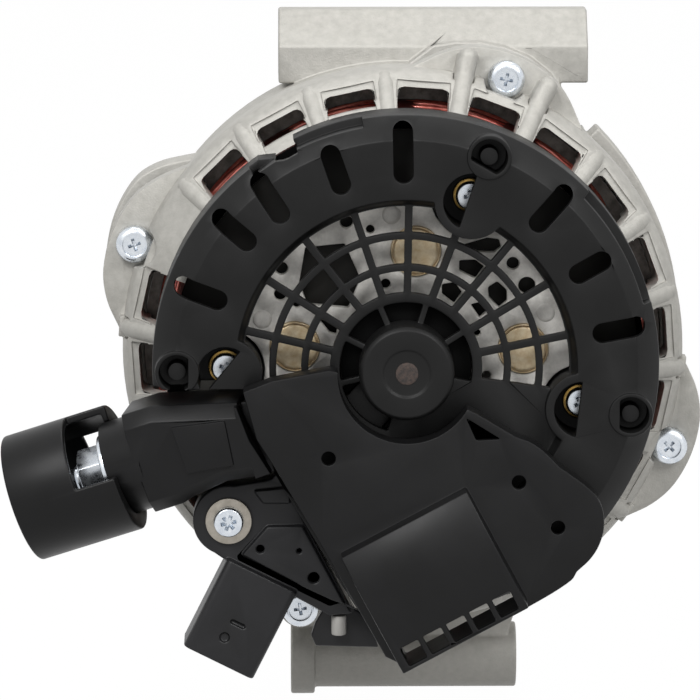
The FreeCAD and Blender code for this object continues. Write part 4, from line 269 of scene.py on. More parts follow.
def deselectAll():
    if bpy.context.object and bpy.context.object.mode != "OBJECT":
        bpy.ops.object.mode_set(mode="OBJECT")
    bpy.ops.object.select_all(action="DESELECT")


def pick(piece, *others):
    deselectAll()
    for item in (piece, *others):
        item.select_set(True)
    bpy.context.view_layer.objects.active = piece


def editAll(piece):
    pick(piece)
    bpy.ops.object.mode_set(mode="EDIT")
    bpy.ops.mesh.select_mode(type="VERT")
    bpy.ops.mesh.select_all(action="SELECT")


def leaveEdit():
    bpy.ops.object.mode_set(mode="OBJECT")


def applyModifier(piece, kind, **settings):
    pick(piece)
    modifier = piece.modifiers.new(kind.lower(), kind)
    for name, value in settings.items():
        setattr(modifier, name, value)
    bpy.ops.object.modifier_apply(modifier=modifier.name)


def smooth(piece, angle=35.0):
    pick(piece)
    bpy.ops.object.shade_smooth_by_angle(angle=math.radians(angle))


def joinUp(name, pieces):
    pick(pieces[0], *pieces[1:])
    bpy.ops.object.join()
    pieces[0].name = name
    pieces[0].data.name = name
    return pieces[0]


def placeAt(piece, matrix, spot=(0, 0, 0)):
    piece.data.transform(matrix @ Matrix.Translation(Vector(spot) * mm) @ piece.matrix_basis)
    piece.matrix_basis = Matrix.Identity(4)
    piece.data.update()
    return piece


def anotherOf(piece):
    copied = piece.copy()
    copied.data = piece.data.copy()
    bpy.context.scene.collection.objects.link(copied)
    return copied


def copiesAt(pattern, spots, level=0, turns=None):
    # The pattern is used up: a copy of it stands at each spot, turned as told
    copies = []
    for place, (x, y) in enumerate(spots):
        copied = anotherOf(pattern)
        if turns:
            copied.rotation_euler = (0, 0, math.radians(turns[place]))
        copies.append(placeAt(copied, rearView, (x, y, level)))
    bpy.data.objects.remove(pattern)
    return copies


def finishPiece(piece, body, material, stands=()):
    piece.data.materials.clear()
    piece.data.materials.append(material)
    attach(piece, body)
    if stands:
        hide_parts(*stands)
    return piece


def drawPath(name, points):
    # One point, pushed out from spot to spot, as a line is drawn by hand
    deselectAll()
    bpy.ops.mesh.primitive_plane_add(size=0.001)
    piece = bpy.context.object
    piece.name = name
    editAll(piece)
    bpy.ops.mesh.merge(type="CENTER")
    bpy.ops.transform.translate(value=[place * mm for place in points[0]])
    for before, after in zip(points, points[1:]):
        step = [(end - start) * mm for start, end in zip(before, after)]
        bpy.ops.mesh.extrude_vertices_move(TRANSFORM_OT_translate={"value": step})
    leaveEdit()
    return piece


def bendWire(name, points, radius, rounds=1, swells=()):
    # The path made round, with closed ends, and thinner where a swell is under 1
    piece = drawPath(name, points)
    pick(piece)
    bpy.ops.object.convert(target="CURVE")
    wire = bpy.context.object
    wire.data.bevel_depth = radius * mm
    wire.data.bevel_resolution = rounds
    wire.data.use_fill_caps = True
    for point, swell in zip(wire.data.splines[0].points, swells):
        point.radius = swell
    bpy.ops.object.convert(target="MESH")
    smooth(bpy.context.object, 60)
    return bpy.context.object


def turnOnLathe(name, profile, steps=48):
    # The profile runs from axis to axis, or closes on itself, and is spun about z
    piece = drawPath(name, [(across, 0, level) for across, level in profile])
    editAll(piece)
    bpy.ops.mesh.spin(steps=steps, angle=2 * math.pi, center=(0, 0, 0), axis=(0, 0, 1))
    bpy.ops.mesh.select_all(action="SELECT")
    bpy.ops.mesh.remove_doubles(threshold=weld)
    bpy.ops.mesh.normals_make_consistent(inside=False)
    leaveEdit()
    return piece


def takeCopy(name, node, flat=0.4, spared=None):
    # A merged copy of the drawn piece, its flat faces made whole but where they are spared
    copied = nodes[node].copy()
    copied.data = nodes[node].data.copy()
    copied.parent = None
    for key in list(copied.keys()):
        del copied[key]
    copied.name = name
    copied.data.name = name
    bpy.context.scene.collection.objects.link(copied)
    copied.matrix_world = Matrix.Identity(4)
    editAll(copied)
    bpy.ops.mesh.remove_doubles(threshold=drawnWeld)
    bpy.ops.mesh.customdata_custom_splitnormals_clear()
    bpy.ops.mesh.select_all(action="DESELECT" if spared else "SELECT")
    if spared:
        leaveEdit()
        for vertex in copied.data.vertices:
            vertex.select = not spared(vertex.co)
        bpy.ops.object.mode_set(mode="EDIT")
    if flat:
        bpy.ops.mesh.dissolve_limited(angle_limit=math.radians(flat))
    leaveEdit()
    return copied


def breakEdges(piece, width, segments=2):
    # Sharp edges rounded, as a mould or a tumbler leaves them
    applyModifier(
        piece, "BEVEL", limit_method="ANGLE", angle_limit=math.radians(sharpFrom), width=width * mm,
        segments=segments, use_clamp_overlap=False, miter_outer="MITER_ARC", loop_slide=False,
    )


# Degrees between two sides that count as a turn, the percentage of each side that the curve takes, its
# steps, how far an upright edge may lean in millimetres and how long it is at least
outlineTurn = {"least": 7, "most": 75, "share": 45, "segments": 5, "lean": 0.02, "length": 1}


def roundOutline(piece, wanted):
    # Upright edges where an outline turns outwards, drawn as curves
    editAll(piece)
    bpy.ops.mesh.select_mode(type="EDGE")
    bpy.ops.mesh.select_all(action="DESELECT")
    leaveEdit()
    sides = {}
    for face in piece.data.polygons:
        for key in face.edge_keys:
            sides.setdefault(key, []).append(face)
    for edge in piece.data.edges:
        start, end = (piece.data.vertices[place].co for place in edge.vertices)
        way, faces = end - start, sides.get(edge.key, [])
        lean, length = math.hypot(way.x, way.z), abs(way.y)
        if len(faces) != 2 or lean > outlineTurn["lean"] * mm or length < outlineTurn["length"] * mm:
            continue
        turn = math.degrees(faces[0].normal.angle(faces[1].normal))
        bulges = (faces[1].center - faces[0].center).dot(faces[0].normal) < 0
        fits = bulges and outlineTurn["least"] < turn < outlineTurn["most"]
        edge.select = fits and wanted(start.x / mm, start.z / mm - shaftHeight)
    bpy.ops.object.mode_set(mode="EDIT")
    bpy.ops.mesh.bevel(
        offset_type="PERCENT", offset_pct=outlineTurn["share"], segments=outlineTurn["segments"],
        clamp_overlap=False)
    leaveEdit()


def standUp(name, outline, low, high):
    # A closed outline raised from level to level
    piece = drawPath(name, [(x, y, low) for x, y in outline])
    editAll(piece)
    bpy.ops.mesh.edge_face_add()
    bpy.ops.mesh.extrude_region_move(TRANSFORM_OT_translate={"value": (0, 0, (high - low) * mm)})
    bpy.ops.mesh.select_all(action="SELECT")
    bpy.ops.mesh.normals_make_consistent(inside=False)
    leaveEdit()
    return piece


def combine(piece, other, operation):
    applyModifier(piece, "BOOLEAN", operation=operation, object=other, solver="EXACT")
    bpy.data.objects.remove(other)


def dressNode(name, node, body, material, width, segments=2):
    copied = takeCopy(name, node)
    if width:
        breakEdges(copied, width, segments)
    smooth(copied)
    return finishPiece(copied, body, material, (node,))


# Castings and the stator

earsBeyond = 77.7  # distance from the shaft past which an outline belongs to an ear
rearCasting = {
    "edge": 0.3, "smoothTo": 40, "sillSteps": 128,
    # distance from the shaft and level: the step round the windows, and the fill inside two of them
    "sill": [(65.7, 52), (65.7, 61.0), (68.6, 58.1), (70.35, 57.4), (70.35, 52), (65.7, 52)],
    "fill": [(61.2, 66.9), (64.0, 63.9), (64.0, 61.5), (61.2, 64.5), (61.2, 66.9)],
    "fillFrom": 95, "fillTo": 130,
    "windowFirst": 167.5, "windowPitch": 16.3636, "windows": 21,
    "windowIn": 62.0, "windowShort": 64.1, "windowOut": 68.1, "windowHalf": 6.6, "windowRound": 1.8,
    "windowLow": 44.6, "windowHigh": 75,
    # what is cut off the drawn ribs where the rounded ones run out on the ears
    "ribTop": [(71.0, -2.8), (80, -2.8), (80, 2.8), (71.0, 2.8)], "ribTopLevels": (53.3, 60),
    "fingerRadius": 2.7, "fingerFirst": 142.95, "fingers": 22,
    # distance from the shaft, level and thickness along a rib; the long ones stand beside the upper bolt
    "finger": [(57.9, 67.2, 1), (59.4, 66.5, 1), (68.2, 57.4, 1), (69.7, 55.2, 1), (70.1, 52.6, 0.85)],
    "long": [(58.5, 67.4, 1), (60, 66.5, 1), (68.6, 57.3, 1), (71, 54.9, 1), (73, 53.6, 1), (77.4, 53.3, 1),
             (78.5, 53.2, 0.85), (79.2, 53.1, 0.55), (79.6, 53.1, 0.1)],
    "middle": [(58.5, 67.4, 1), (60, 66.5, 1), (68.6, 57.3, 1), (70.4, 54.7, 1), (71.2, 53.4, 0.9),
               (71.8, 52, 0.7)],
    "longAt": (61.1, 77.5), "middleAt": (-4.3, -37.0, 175.7), "noneAt": (159.3, 339.3),
}


def layFinger(name, kind, angle):
    stations = rearCasting[kind]
    finger = bendWire(
        name, [(*around(reach, angle), level) for reach, level, swell in stations],
        rearCasting["fingerRadius"], 3, [swell for reach, level, swell in stations])
    return placeAt(finger, rearView)


def spinSector(name, profile, start, end, steps=40):
    piece = drawPath(name, [(across, 0, level) for across, level in profile])
    editAll(piece)
    bpy.ops.mesh.remove_doubles(threshold=weld)
    bpy.ops.mesh.edge_face_add()
    bpy.ops.mesh.spin(steps=steps, angle=math.radians(start - end), center=(0, 0, 0), axis=(0, 0, 1))
    bpy.ops.mesh.select_all(action="SELECT")
    bpy.ops.mesh.normals_make_consistent(inside=False)
    leaveEdit()
    return placeAt(piece, Matrix.Rotation(math.radians(start), 4, "Z"))


def windowCutter(angle):
    # Those within the fill are shorter, with their inner corners rounded too
    short = rearCasting["fillFrom"] < angle % 360 < rearCasting["fillTo"]
    outside, half, corner = (rearCasting["window" + key] for key in ("Out", "Half", "Round"))
    inside = rearCasting["windowShort" if short else "windowIn"]
    outline = [(inside, -half)]
    if short:
        outline = []
        for step in (180, 210, 240, 270):
            x, y = around(corner, step)
            outline.append((inside + corner + x, -half + corner + y))
    outline.append((outside - corner, -half))
    for step in (-60, -30, 0):
        x, y = around(corner, step)
        outline.append((outside - corner + x, -half + corner + y))
    outline += [(x, -y) for x, y in outline[::-1]]
    piece = standUp("windowCutter", outline, rearCasting["windowLow"], rearCasting["windowHigh"])
    return placeAt(piece, turned(angle))


def castRearHousing():
    # The frames round the windows are filled to a shallow step, and rounded ribs lie between them
    casting = takeCopy("rearHousing", "rear_housing")
    roundOutline(casting, lambda x, y: math.hypot(x, y) > earsBeyond)
    sill = turnOnLathe("windowSill", rearCasting["sill"], rearCasting["sillSteps"])
    combine(casting, placeAt(sill, rearView), "UNION")
    fill = spinSector("windowFill", rearCasting["fill"], rearCasting["fillFrom"], rearCasting["fillTo"])
    combine(casting, placeAt(fill, rearView), "UNION")
    for number in range(rearCasting["windows"]):
        angle = rearCasting["windowFirst"] + number * rearCasting["windowPitch"]
        combine(casting, windowCutter(angle), "DIFFERENCE")
    for angle in (*rearCasting["longAt"], *rearCasting["middleAt"]):
        top = standUp("ribTop", rearCasting["ribTop"], *rearCasting["ribTopLevels"])
        combine(casting, placeAt(top, turned(angle)), "DIFFERENCE")
    breakEdges(casting, rearCasting["edge"])
    kinds = {angle % 360: kind for kind in ("long", "middle", "none") for angle in rearCasting[kind + "At"]}
    fingers = []
    for number in range(rearCasting["fingers"]):
        angle = (rearCasting["fingerFirst"] - number * rearCasting["windowPitch"]) % 360
        kind = next((kinds[place] for place in kinds if abs(place - angle) < 1), "finger")
        if kind != "none":
            fingers.append(layFinger(f"finger{number}", kind, angle))
    casting = joinUp("rearHousing", [casting, *fingers])
    smooth(casting, rearCasting["smoothTo"])
    finishPiece(casting, "housing", castAluminium, ("rear_housing",))


frontCasting = {
    "edge": 0.6, "low": 3.9, "above": 17.0, "beyond": 95.0,
    # the mounting bar as the crest's trim leaves it: level and height of its profile, and its ends
    "bar": [(12.02, 55), (12.02, 73.71), (3.52, 82.72), (-3.5, 82.72), (-12.02, 73.7), (-12.02, 55)],
    "barEnds": (-31.95, 49.95), "barSpan": (-33, 51), "barFoot": 60,
    # where the trim leaves steps, and how far apart their points are at most
    "stepsBeyond": 70, "stepsAbove": 50, "stepLevels": (2.9, 13), "step": 0.06,
    # the upper ear's outline against the bar: distance from the shaft and angle
    "crest": [(70.6, 45), (71.9, 48.5), (75.3, 54.5), (77.6, 59), (78.9, 64), (78.9, 69.5), (78.1, 74),
              (76.6, 79), (74.4, 84.5), (72.2, 91), (70.6, 96)],
}


def castFrontHousing():
    casting = takeCopy("frontHousing", "front_housing")
    left, right = frontCasting["barSpan"]
    roundOutline(casting, lambda x, y: math.hypot(x, y) > earsBeyond
                 and not (left < x < right and y > frontCasting["barFoot"]))
    crest = [around(reach, angle) for reach, angle in frontCasting["crest"]]
    # Past the ear the trim closes over the crest's last, middle and first spot
    crest += [around(frontCasting["beyond"], frontCasting["crest"][place][1]) for place in (-1, 5, 0)]
    trim = standUp("crestTrim", crest, frontCasting["low"], frontCasting["above"])
    bar = standUp("barSpared", [(-level, y) for level, y in frontCasting["bar"]], *frontCasting["barEnds"])
    combine(trim, placeAt(bar, Matrix.Rotation(math.radians(90), 4, "Y")), "DIFFERENCE")
    combine(casting, placeAt(trim, rearView), "DIFFERENCE")
    # The thin steps that the trim leaves on the bar are closed again
    low, high = frontCasting["stepLevels"]
    editAll(casting)
    bpy.ops.mesh.select_all(action="DESELECT")
    leaveEdit()
    for vertex in casting.data.vertices:
        spot = (rearView.inverted() @ vertex.co) / mm
        vertex.select = (math.hypot(spot.x, spot.y) > frontCasting["stepsBeyond"]
                         and spot.y > frontCasting["stepsAbove"] and low < spot.z < high)
    bpy.ops.object.mode_set(mode="EDIT")
    bpy.ops.mesh.remove_doubles(threshold=frontCasting["step"] * mm)
    leaveEdit()
    breakEdges(casting, frontCasting["edge"], 3)
    smooth(casting)
    finishPiece(casting, "housing", castAluminium, ("front_housing",))


castRearHousing()
castFrontHousing()
dressNode("statorCore", "stator_core", "housing", laminatedSteel, 0.0)
print("castings dressed")


# Winding: wires laid over the slots' ends in bundles, on a core of varnish

winding = {
    "wire": 1.3, "bundles": 12, "span": 33.0, "steps": 14, "turnOver": 59.0, "coreShrink": 0.7,
    # how a strand strays: its start in degrees, its sway in millimetres, and how its ends sink
    "stray": 1.1, "strayPhase": 2.3, "sway": 0.22, "swayTurns": 5.1, "swayPhase": 1.9,
    "dip": 7.0, "sinkIn": 2.6, "sinkDown": 5.5,
    "strands": [
        (63.5, 48.3), (63.4, 49.7), (63.0, 51.1), (62.4, 52.4), (61.9, 53.7), (61.3, 55.0), (60.8, 56.3),
        (60.3, 57.5), (59.2, 58.5), (57.9, 58.7), (56.6, 58.6),
    ],
}


def layBundle():
    strands = []
    for number, (radius, level) in enumerate(winding["strands"]):
        path = []
        for step in range(winding["steps"] + 1):
            share = step / winding["steps"]
            angle = winding["span"] * share + winding["stray"] * math.sin(winding["strayPhase"] * number)
            edge = min(share, 1 - share) * winding["span"]
            sink = max(0.0, 1 - edge / winding["dip"]) ** 2  # the ends turn down into their slots
            sway = winding["sway"] * math.sin(winding["swayTurns"] * share + winding["swayPhase"] * number)
            x, y = around(radius - winding["sinkIn"] * sink + sway, angle)
            path.append((x, y, level - winding["sinkDown"] * sink + sway))
        strands.append(bendWire("strand", path, winding["wire"] / 2, 2))
    return joinUp("bundle", strands)


bundle = layBundle()
endTurns = []
for turn in range(winding["bundles"]):
    laid = anotherOf(bundle)
    placeAt(laid, Matrix.Rotation(2 * math.pi * turn / winding["bundles"], 4, "Z"))
    endTurns.append(laid)
bpy.data.objects.remove(bundle)
rearEndTurns = joinUp("rearEndTurns", endTurns)
frontEndTurns = anotherOf(rearEndTurns)
frontEndTurns.name = frontEndTurns.data.name = "frontEndTurns"
placeAt(frontEndTurns, rearView @ Matrix.Rotation(math.pi, 4, "X"), (0, 0, -winding["turnOver"]))
placeAt(rearEndTurns, rearView)
finishPiece(rearEndTurns, "housing", enamelledCopper)
finishPiece(frontEndTurns, "housing", enamelledCopper)
windingCore = dressNode("windingCore", "stator_winding", "housing", bakedVarnish, 0.0)
applyModifier(windingCore, "DISPLACE", strength=-winding["coreShrink"] * mm, mid_level=0.0)
print("winding laid")


# Moulded covers

coverDip = {
    "edge": 0.3, "low": 60.0, "high": 92.0,
    # distance from the shaft and angle where the rim gives way at the upper left
    "outline": [(67, 128), (65, 126.4), (64.2, 125.4), (63.6, 124.4), (62.8, 123), (62, 121.6),
                (61.4, 120.2), (61.2, 118.8), (61.3, 117.2), (61.3, 116.4), (67, 116.4)],
}


def mouldCover():
    cover = takeCopy("rearCover", "rear_cover", 0)
    outline = [around(*spot) for spot in coverDip["outline"]]
    dip = standUp("rimDip", outline, coverDip["low"], coverDip["high"])
    combine(cover, placeAt(dip, rearView), "DIFFERENCE")
    breakEdges(cover, coverDip["edge"])
    smooth(cover)
    finishPiece(cover, "housing", blackPolyamide, ("rear_cover",))


mouldCover()

# A near-black plate under the rim stands in for shade: painted shade that keeps its slots dark, but at the
# left
slotShade = {
    "profile": [(56, 70.3), (61.4, 70.3), (61.4, 71.2), (56, 71.2), (56, 70.3)],
    "from": -174, "to": 158, "steps": 120,
}


def laySlotShade():
    ring = spinSector("coverLining", slotShade["profile"], slotShade["from"], slotShade["to"], slotShade["steps"])
    placeAt(ring, rearView)
    smooth(ring)
    finishPiece(ring, "housing", bootPolyamideAndShade)


laySlotShade()

hoodShape = {
    "edge": 0.4, "ductAbove": 100.5, "roundRight": 19, "roundAbove": -55,
    # the mark of the mould's gate, a torn button in the hub's dimple
    "mark": [(0, 97.4), (2.9, 97.4), (2.8, 97.62), (2.2, 97.78), (1.2, 97.72), (0, 97.8)], "markSteps": 32,
}


def mouldHood():
    # The duct keeps its drawn faces, so that the bars between its cells stay
    hood = takeCopy(
        "terminalCover", "terminal_cover", spared=lambda spot: -spot.y > hoodShape["ductAbove"] * mm)
    roundOutline(hood, lambda x, y: x > hoodShape["roundRight"] and y > hoodShape["roundAbove"])
    breakEdges(hood, hoodShape["edge"])
    smooth(hood)
    finishPiece(hood, "housing", hoodPolyamide, ("terminal_cover",))
    mark = placeAt(turnOnLathe("gateMark", hoodShape["mark"], hoodShape["markSteps"]), rearView)
    smooth(mark)
    finishPiece(mark, "housing", gateMark)


mouldHood()
for name, node, material, edge, segments in (
    ("batteryArm", "battery_terminal_arm", hoodPolyamide, 0.3, 2),
    ("terminalCap", "terminal_cap", hoodPolyamide, 0.5, 3),
    ("regulator", "regulator_housing", regulatorPolyamide, 0.5, 3),
):
    dressNode(name, node, "housing", material, edge, segments)

# Dark walls under the arm close what the photo shows closed
skirts = {
    "armSkirt": {"low": 76.0, "high": 88.5, "edge": 0.6,
                 "outline": [(-45, -9), (-38, -8), (-34, -15), (-32.5, -26.5), (-37, -27), (-42, -20)]},
    "pocketSkirt": {"low": 58.0, "high": 66.0, "edge": 0.4,
                    "outline": [(-61, -6), (-55.5, -6), (-55.5, -10.5), (-60.6, -10.5)]},
}


def mouldSkirt(name, spec):
    skirt = placeAt(standUp(name, spec["outline"], spec["low"], spec["high"]), rearView)
    breakEdges(skirt, spec["edge"], 3)
    smooth(skirt)
    finishPiece(skirt, "housing", hoodPolyamide)


for name, spec in skirts.items():
    mouldSkirt(name, spec)
print("covers moulded")


# Screws with a cross recess

screwKinds = {
    "throughBolts": {
        "node": "through_bolts", "shank": 2.5, "head": 4.8, "height": 3.6, "seat": 50.0, "tip": 6.5,
        "blades": 2, "cross": 2.5, "blade": 0.62, "depth": 1.8, "dish": 3.3, "sink": 1.0,
        "turns": (45, -12, 18, 8),
        "spots": [around(74.3, angle) for angle in (-21, 69, 159, 249)],
    },
    "coverScrews": {
        "node": "cover_screws", "shank": 2.0, "head": 3.7, "height": 2.3, "seat": 78.1, "tip": 66.6,
        "blades": 2, "cross": 2.4, "blade": 0.7, "depth": 1.9, "flat": 0.84, "turns": (30, 5, -22),
        "spots": [around(45.8, angle) for angle in (-13.0, 69.0, 181.5)],
    },
    "regulatorScrews": {
        "node": "regulator_screws", "shank": 2.0, "head": 3.85, "height": 2.4, "seat": 86.0, "tip": 61.3,
        "blades": 3, "cross": 3.0, "blade": 0.75, "depth": 1.9, "flat": 0.84, "turns": (12,),
        "spots": [(-45.1, -39.8)],
    },
    "holderScrews": {
        "node": "regulator_screws", "shank": 2.0, "head": 3.85, "height": 2.4, "seat": 73.1, "tip": 66.6,
        "blades": 3, "cross": 2.1, "blade": 0.45, "depth": 1.9, "turns": (0,), "spots": [(-10.93, -27.83)],
    },
}


# What all of them share: small edges, where the crown starts and how flat it is, and the blades' taper
screwForm = {
    "tipEdge": 0.4, "under": 0.15, "side": 0.2, "rim": 0.5, "flat": 0.64, "dishEdge": 0.3, "taper": 0.35,
    "steps": 40,
}


def crossCutter(spec):
    # Tapered blades that cross, as the tip of a screwdriver: two, or three for a star
    blades = []
    for turn in range(0, 180, 180 // spec["blades"]):
        deselectAll()
        bpy.ops.mesh.primitive_cube_add(size=1.0)
        blade = bpy.context.object
        blade.scale = (2 * spec["cross"] * mm, 2 * spec["blade"] * mm, 2 * spec["depth"] * mm)
        blade.rotation_euler = (0, 0, math.radians(turn))
        bpy.ops.object.transform_apply(location=True, rotation=True, scale=True)
        bpy.ops.object.mode_set(mode="EDIT")
        bpy.ops.mesh.select_all(action="DESELECT")
        leaveEdit()
        for face in blade.data.polygons:
            face.select = face.normal.z < -0.9
        bpy.ops.object.mode_set(mode="EDIT")
        bpy.ops.mesh.select_mode(type="FACE")
        bpy.ops.transform.resize(value=(screwForm["taper"], screwForm["taper"], 1.0))
        leaveEdit()
        blades.append(blade)
    return blades


def panScrew(name, spec):
    head, tall, shank, tip = spec["head"], spec["height"], spec["shank"], spec["tip"] - spec["seat"]
    rim, flat, edge = tall * screwForm["rim"], spec.get("flat", screwForm["flat"]), screwForm["tipEdge"]
    profile = [(0, tip), (shank - edge, tip), (shank, tip + edge), (shank, 0)]
    profile += [(head - screwForm["under"], 0), (head, screwForm["side"]), (head, rim)]
    for step in range(15, 91, 15):
        turn = math.radians(step)
        profile.append((head * (flat + (1 - flat) * math.cos(turn)), rim + (tall - rim) * math.sin(turn)))
    if "dish" in spec:
        profile += [(spec["dish"], tall), (spec["dish"] - screwForm["dishEdge"], tall - spec["sink"])]
        tall -= spec["sink"]
    profile.append((0, tall))
    screw = turnOnLathe(name, profile, screwForm["steps"])
    for blade in crossCutter(spec):
        combine(screw, placeAt(blade, Matrix.Identity(4), (0, 0, tall)), "DIFFERENCE")
    return screw


fitted = {}
for name, spec in screwKinds.items():
    screws = copiesAt(panScrew(name + "Pattern", spec), spec["spots"], spec["seat"], spec["turns"])
    fitted.setdefault(spec["node"], []).extend(screws)
for node, screws in fitted.items():
    joined = joinUp(camelName(node), screws)
    smooth(joined)
    finishPiece(joined, "housing", zincSteel, (node,))
print("screws turned")


# Diodes and rivets of the rectifier

diodes = {
    "positive": {"node": "positive_diodes", "low": 76.7, "crown": 82.6,
                 "spots": [(2.6, 29.0), (29.9, 3.9), (-28.1, 4.6)]},
    "negative": {"node": "negative_diodes", "low": 70.3, "crown": 75.2,
                 "spots": [around(30.0, angle) for angle in (46.0, 128.0, -26.0)]},
}
# A pressed cup with a rolled rim, and the cap sunk into it behind a groove: reach, and height from the crown
diodeTop = [
    (6.35, -0.35), (6.25, -0.15), (6.1, -0.1), (5.98, -0.25), (5.95, -1.3), (5.68, -1.3), (5.62, -0.2),
    (5.4, -0.04), (5.0, 0), (0, 0),
]
rivets = {
    "low": 70.3, "seat": 82.0, "head": 2.4, "rise": 0.6, "shank": 1.55, "steps": 24,
    "dome": [(0.97, 0.15), (0.85, 0.4), (0.5, 0.6), (0, 0.65)],  # shares of the head and of its rise
    "spots": [(-3.6, 38.3), (35.6, 13.2), (-36.4, 11.6)],
}


def turnDiodes(name, spec):
    low, crown = spec["low"], spec["crown"]
    profile = [(0, low), (5.9, low), (6.35, low + 0.5)]
    profile += [(reach, crown + height) for reach, height in diodeTop]
    joined = joinUp(name, copiesAt(turnOnLathe(name + "Pattern", profile), spec["spots"]))
    smooth(joined)
    finishPiece(joined, "housing", diodeCopper, (spec["node"],))


def turnRivets():
    seat, head, rise, shank = rivets["seat"], rivets["head"], rivets["rise"], rivets["shank"]
    profile = [(0, rivets["low"]), (shank, rivets["low"]), (shank, seat), (head, seat)]
    profile += [(head * across, seat + up * rise) for across, up in rivets["dome"]]
    pattern = turnOnLathe("rivetPattern", profile, rivets["steps"])
    joined = joinUp("heatSinkRivets", copiesAt(pattern, rivets["spots"]))
    smooth(joined)
    finishPiece(joined, "housing", sheetAluminium, ("heat_sink_rivets",))


for polarity, spec in diodes.items():
    turnDiodes(polarity + "Diodes", spec)
turnRivets()
print("rectifier fitted")


# Battery terminal: threaded stud, chamfered nut

terminal = {
    "start": 2.0, "threadStart": 14.0, "threadEnd": 41.4, "pitch": 1.25, "crest": 3.97, "root": 3.4,
    "foot": 3.5, "pilot": 3.3, "end": 50.0, "edge": 0.6, "steps": 32, "smoothTo": 30,
    "nutStart": 33.6, "nutEnd": 40.1, "nutEdge": 0.12, "corner": 7.6, "face": 6.45, "beyond": 0.1,
}
lyingAlong = alongArm @ Matrix.Rotation(math.radians(90), 4, "Y")


def turnStud():
    start, end, crest, pitch = (terminal[key] for key in ("start", "end", "crest", "pitch"))
    pilot, edge = terminal["pilot"], terminal["edge"]
    profile = [(0, start), (terminal["foot"], start), (crest, start + 0.5)]
    level = terminal["threadStart"]
    while level < terminal["threadEnd"] - pitch:
        profile += [(crest, level), (terminal["root"], level + 0.5 * pitch)]
        level += pitch
    profile += [(crest, terminal["threadEnd"]), (pilot, terminal["threadEnd"] + edge)]
    profile += [(pilot, end - edge), (pilot - edge, end), (0, end)]
    stud = placeAt(turnOnLathe("batteryStud", profile, terminal["steps"]), lyingAlong)
    smooth(stud, terminal["smoothTo"])
    finishPiece(stud, "housing", zincSteel, ("battery_stud",))


def chamferNut():
    nut = dressNode(
        "batteryNut", "battery_nut", "housing", zincSteel, terminal["nutEdge"], 1)
    low, high, corner, face, edge, beyond = (
        terminal[key] for key in ("nutStart", "nutEnd", "corner", "face", "edge", "beyond"))
    trim = turnOnLathe("nutTrim", [
        (0, low - beyond), (face, low - beyond), (corner, low + edge),
        (corner, high - edge), (face, high + beyond), (0, high + beyond),
    ])
    combine(nut, placeAt(trim, lyingAlong), "INTERSECT")
    smooth(nut, terminal["smoothTo"])


turnStud()
chamferNut()
print("battery terminal fitted")


# Springs behind the brushes, and the field coil's turns

springs = {
    "wire": 0.5, "radius": 1.7, "turns": 5.5, "stepsPerTurn": 14, "start": 24.7, "end": 32.5,
    "keep": 0.36, "angle": 228.0,
}


def windSpring(name, number):
    node = f"brush_spring_{number}"
    low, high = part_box(node)
    level = -(low[1] + high[1]) / 2 / mm
    points, count = [], int(springs["turns"] * springs["stepsPerTurn"])
    for step in range(count + 1):
        share = step / count
        x, y = around(springs["radius"], 360 * springs["turns"] * share)
        points.append((x, y, springs["start"] + (springs["end"] - springs["start"]) * share))
    spring = bendWire(name, points, springs["wire"] / 2, 1)
    outwards = Matrix.Rotation(math.radians(springs["angle"]), 4, "Z")
    outwards = outwards @ Matrix.Rotation(math.radians(90), 4, "Y")
    placeAt(spring, rearView @ Matrix.Translation((0, 0, level * mm)) @ outwards)
    finishPiece(spring, "housing", bearingSteel, (node,))
    x, y = around(springs["end"], springs["angle"])
    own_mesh(spring)


windSpring("brushSpringOne", 1)
windSpring("brushSpringTwo", 2)

fieldCoil = {"wire": 1.2, "inner": 27.0, "outer": 43.1, "steps": 64, "smoothTo": 50}


def windFieldCoil():
    low, high = (-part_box("field_coil")[side][1] / mm for side in (1, 0))
    wire, inner = fieldCoil["wire"], fieldCoil["inner"]
    outer = fieldCoil["outer"] - wire / 2
    count = int((high - low) / wire)
    spare = (high - low - count * wire) / 2
    profile = [(inner, low), (outer, low)]
    for turn in range(count):
        middle = low + spare + (turn + 0.5) * wire
        for step in (-60, -20, 20, 60):
            bow = math.radians(step)
            profile.append((outer + wire / 2 * math.cos(bow), middle + wire / 2 * math.sin(bow)))
    profile += [(outer, high), (inner, high), (inner, low)]
    coil = placeAt(turnOnLathe("fieldCoil", profile, fieldCoil["steps"]), rearView)
    smooth(coil, fieldCoil["smoothTo"])
    finishPiece(coil, "rotor", enamelledCopper, ("field_coil",))


windFieldCoil()
print("springs and field coil wound")


# The rest keep their drawn shape, with their edges broken: body, slot, material and edge in millimetres

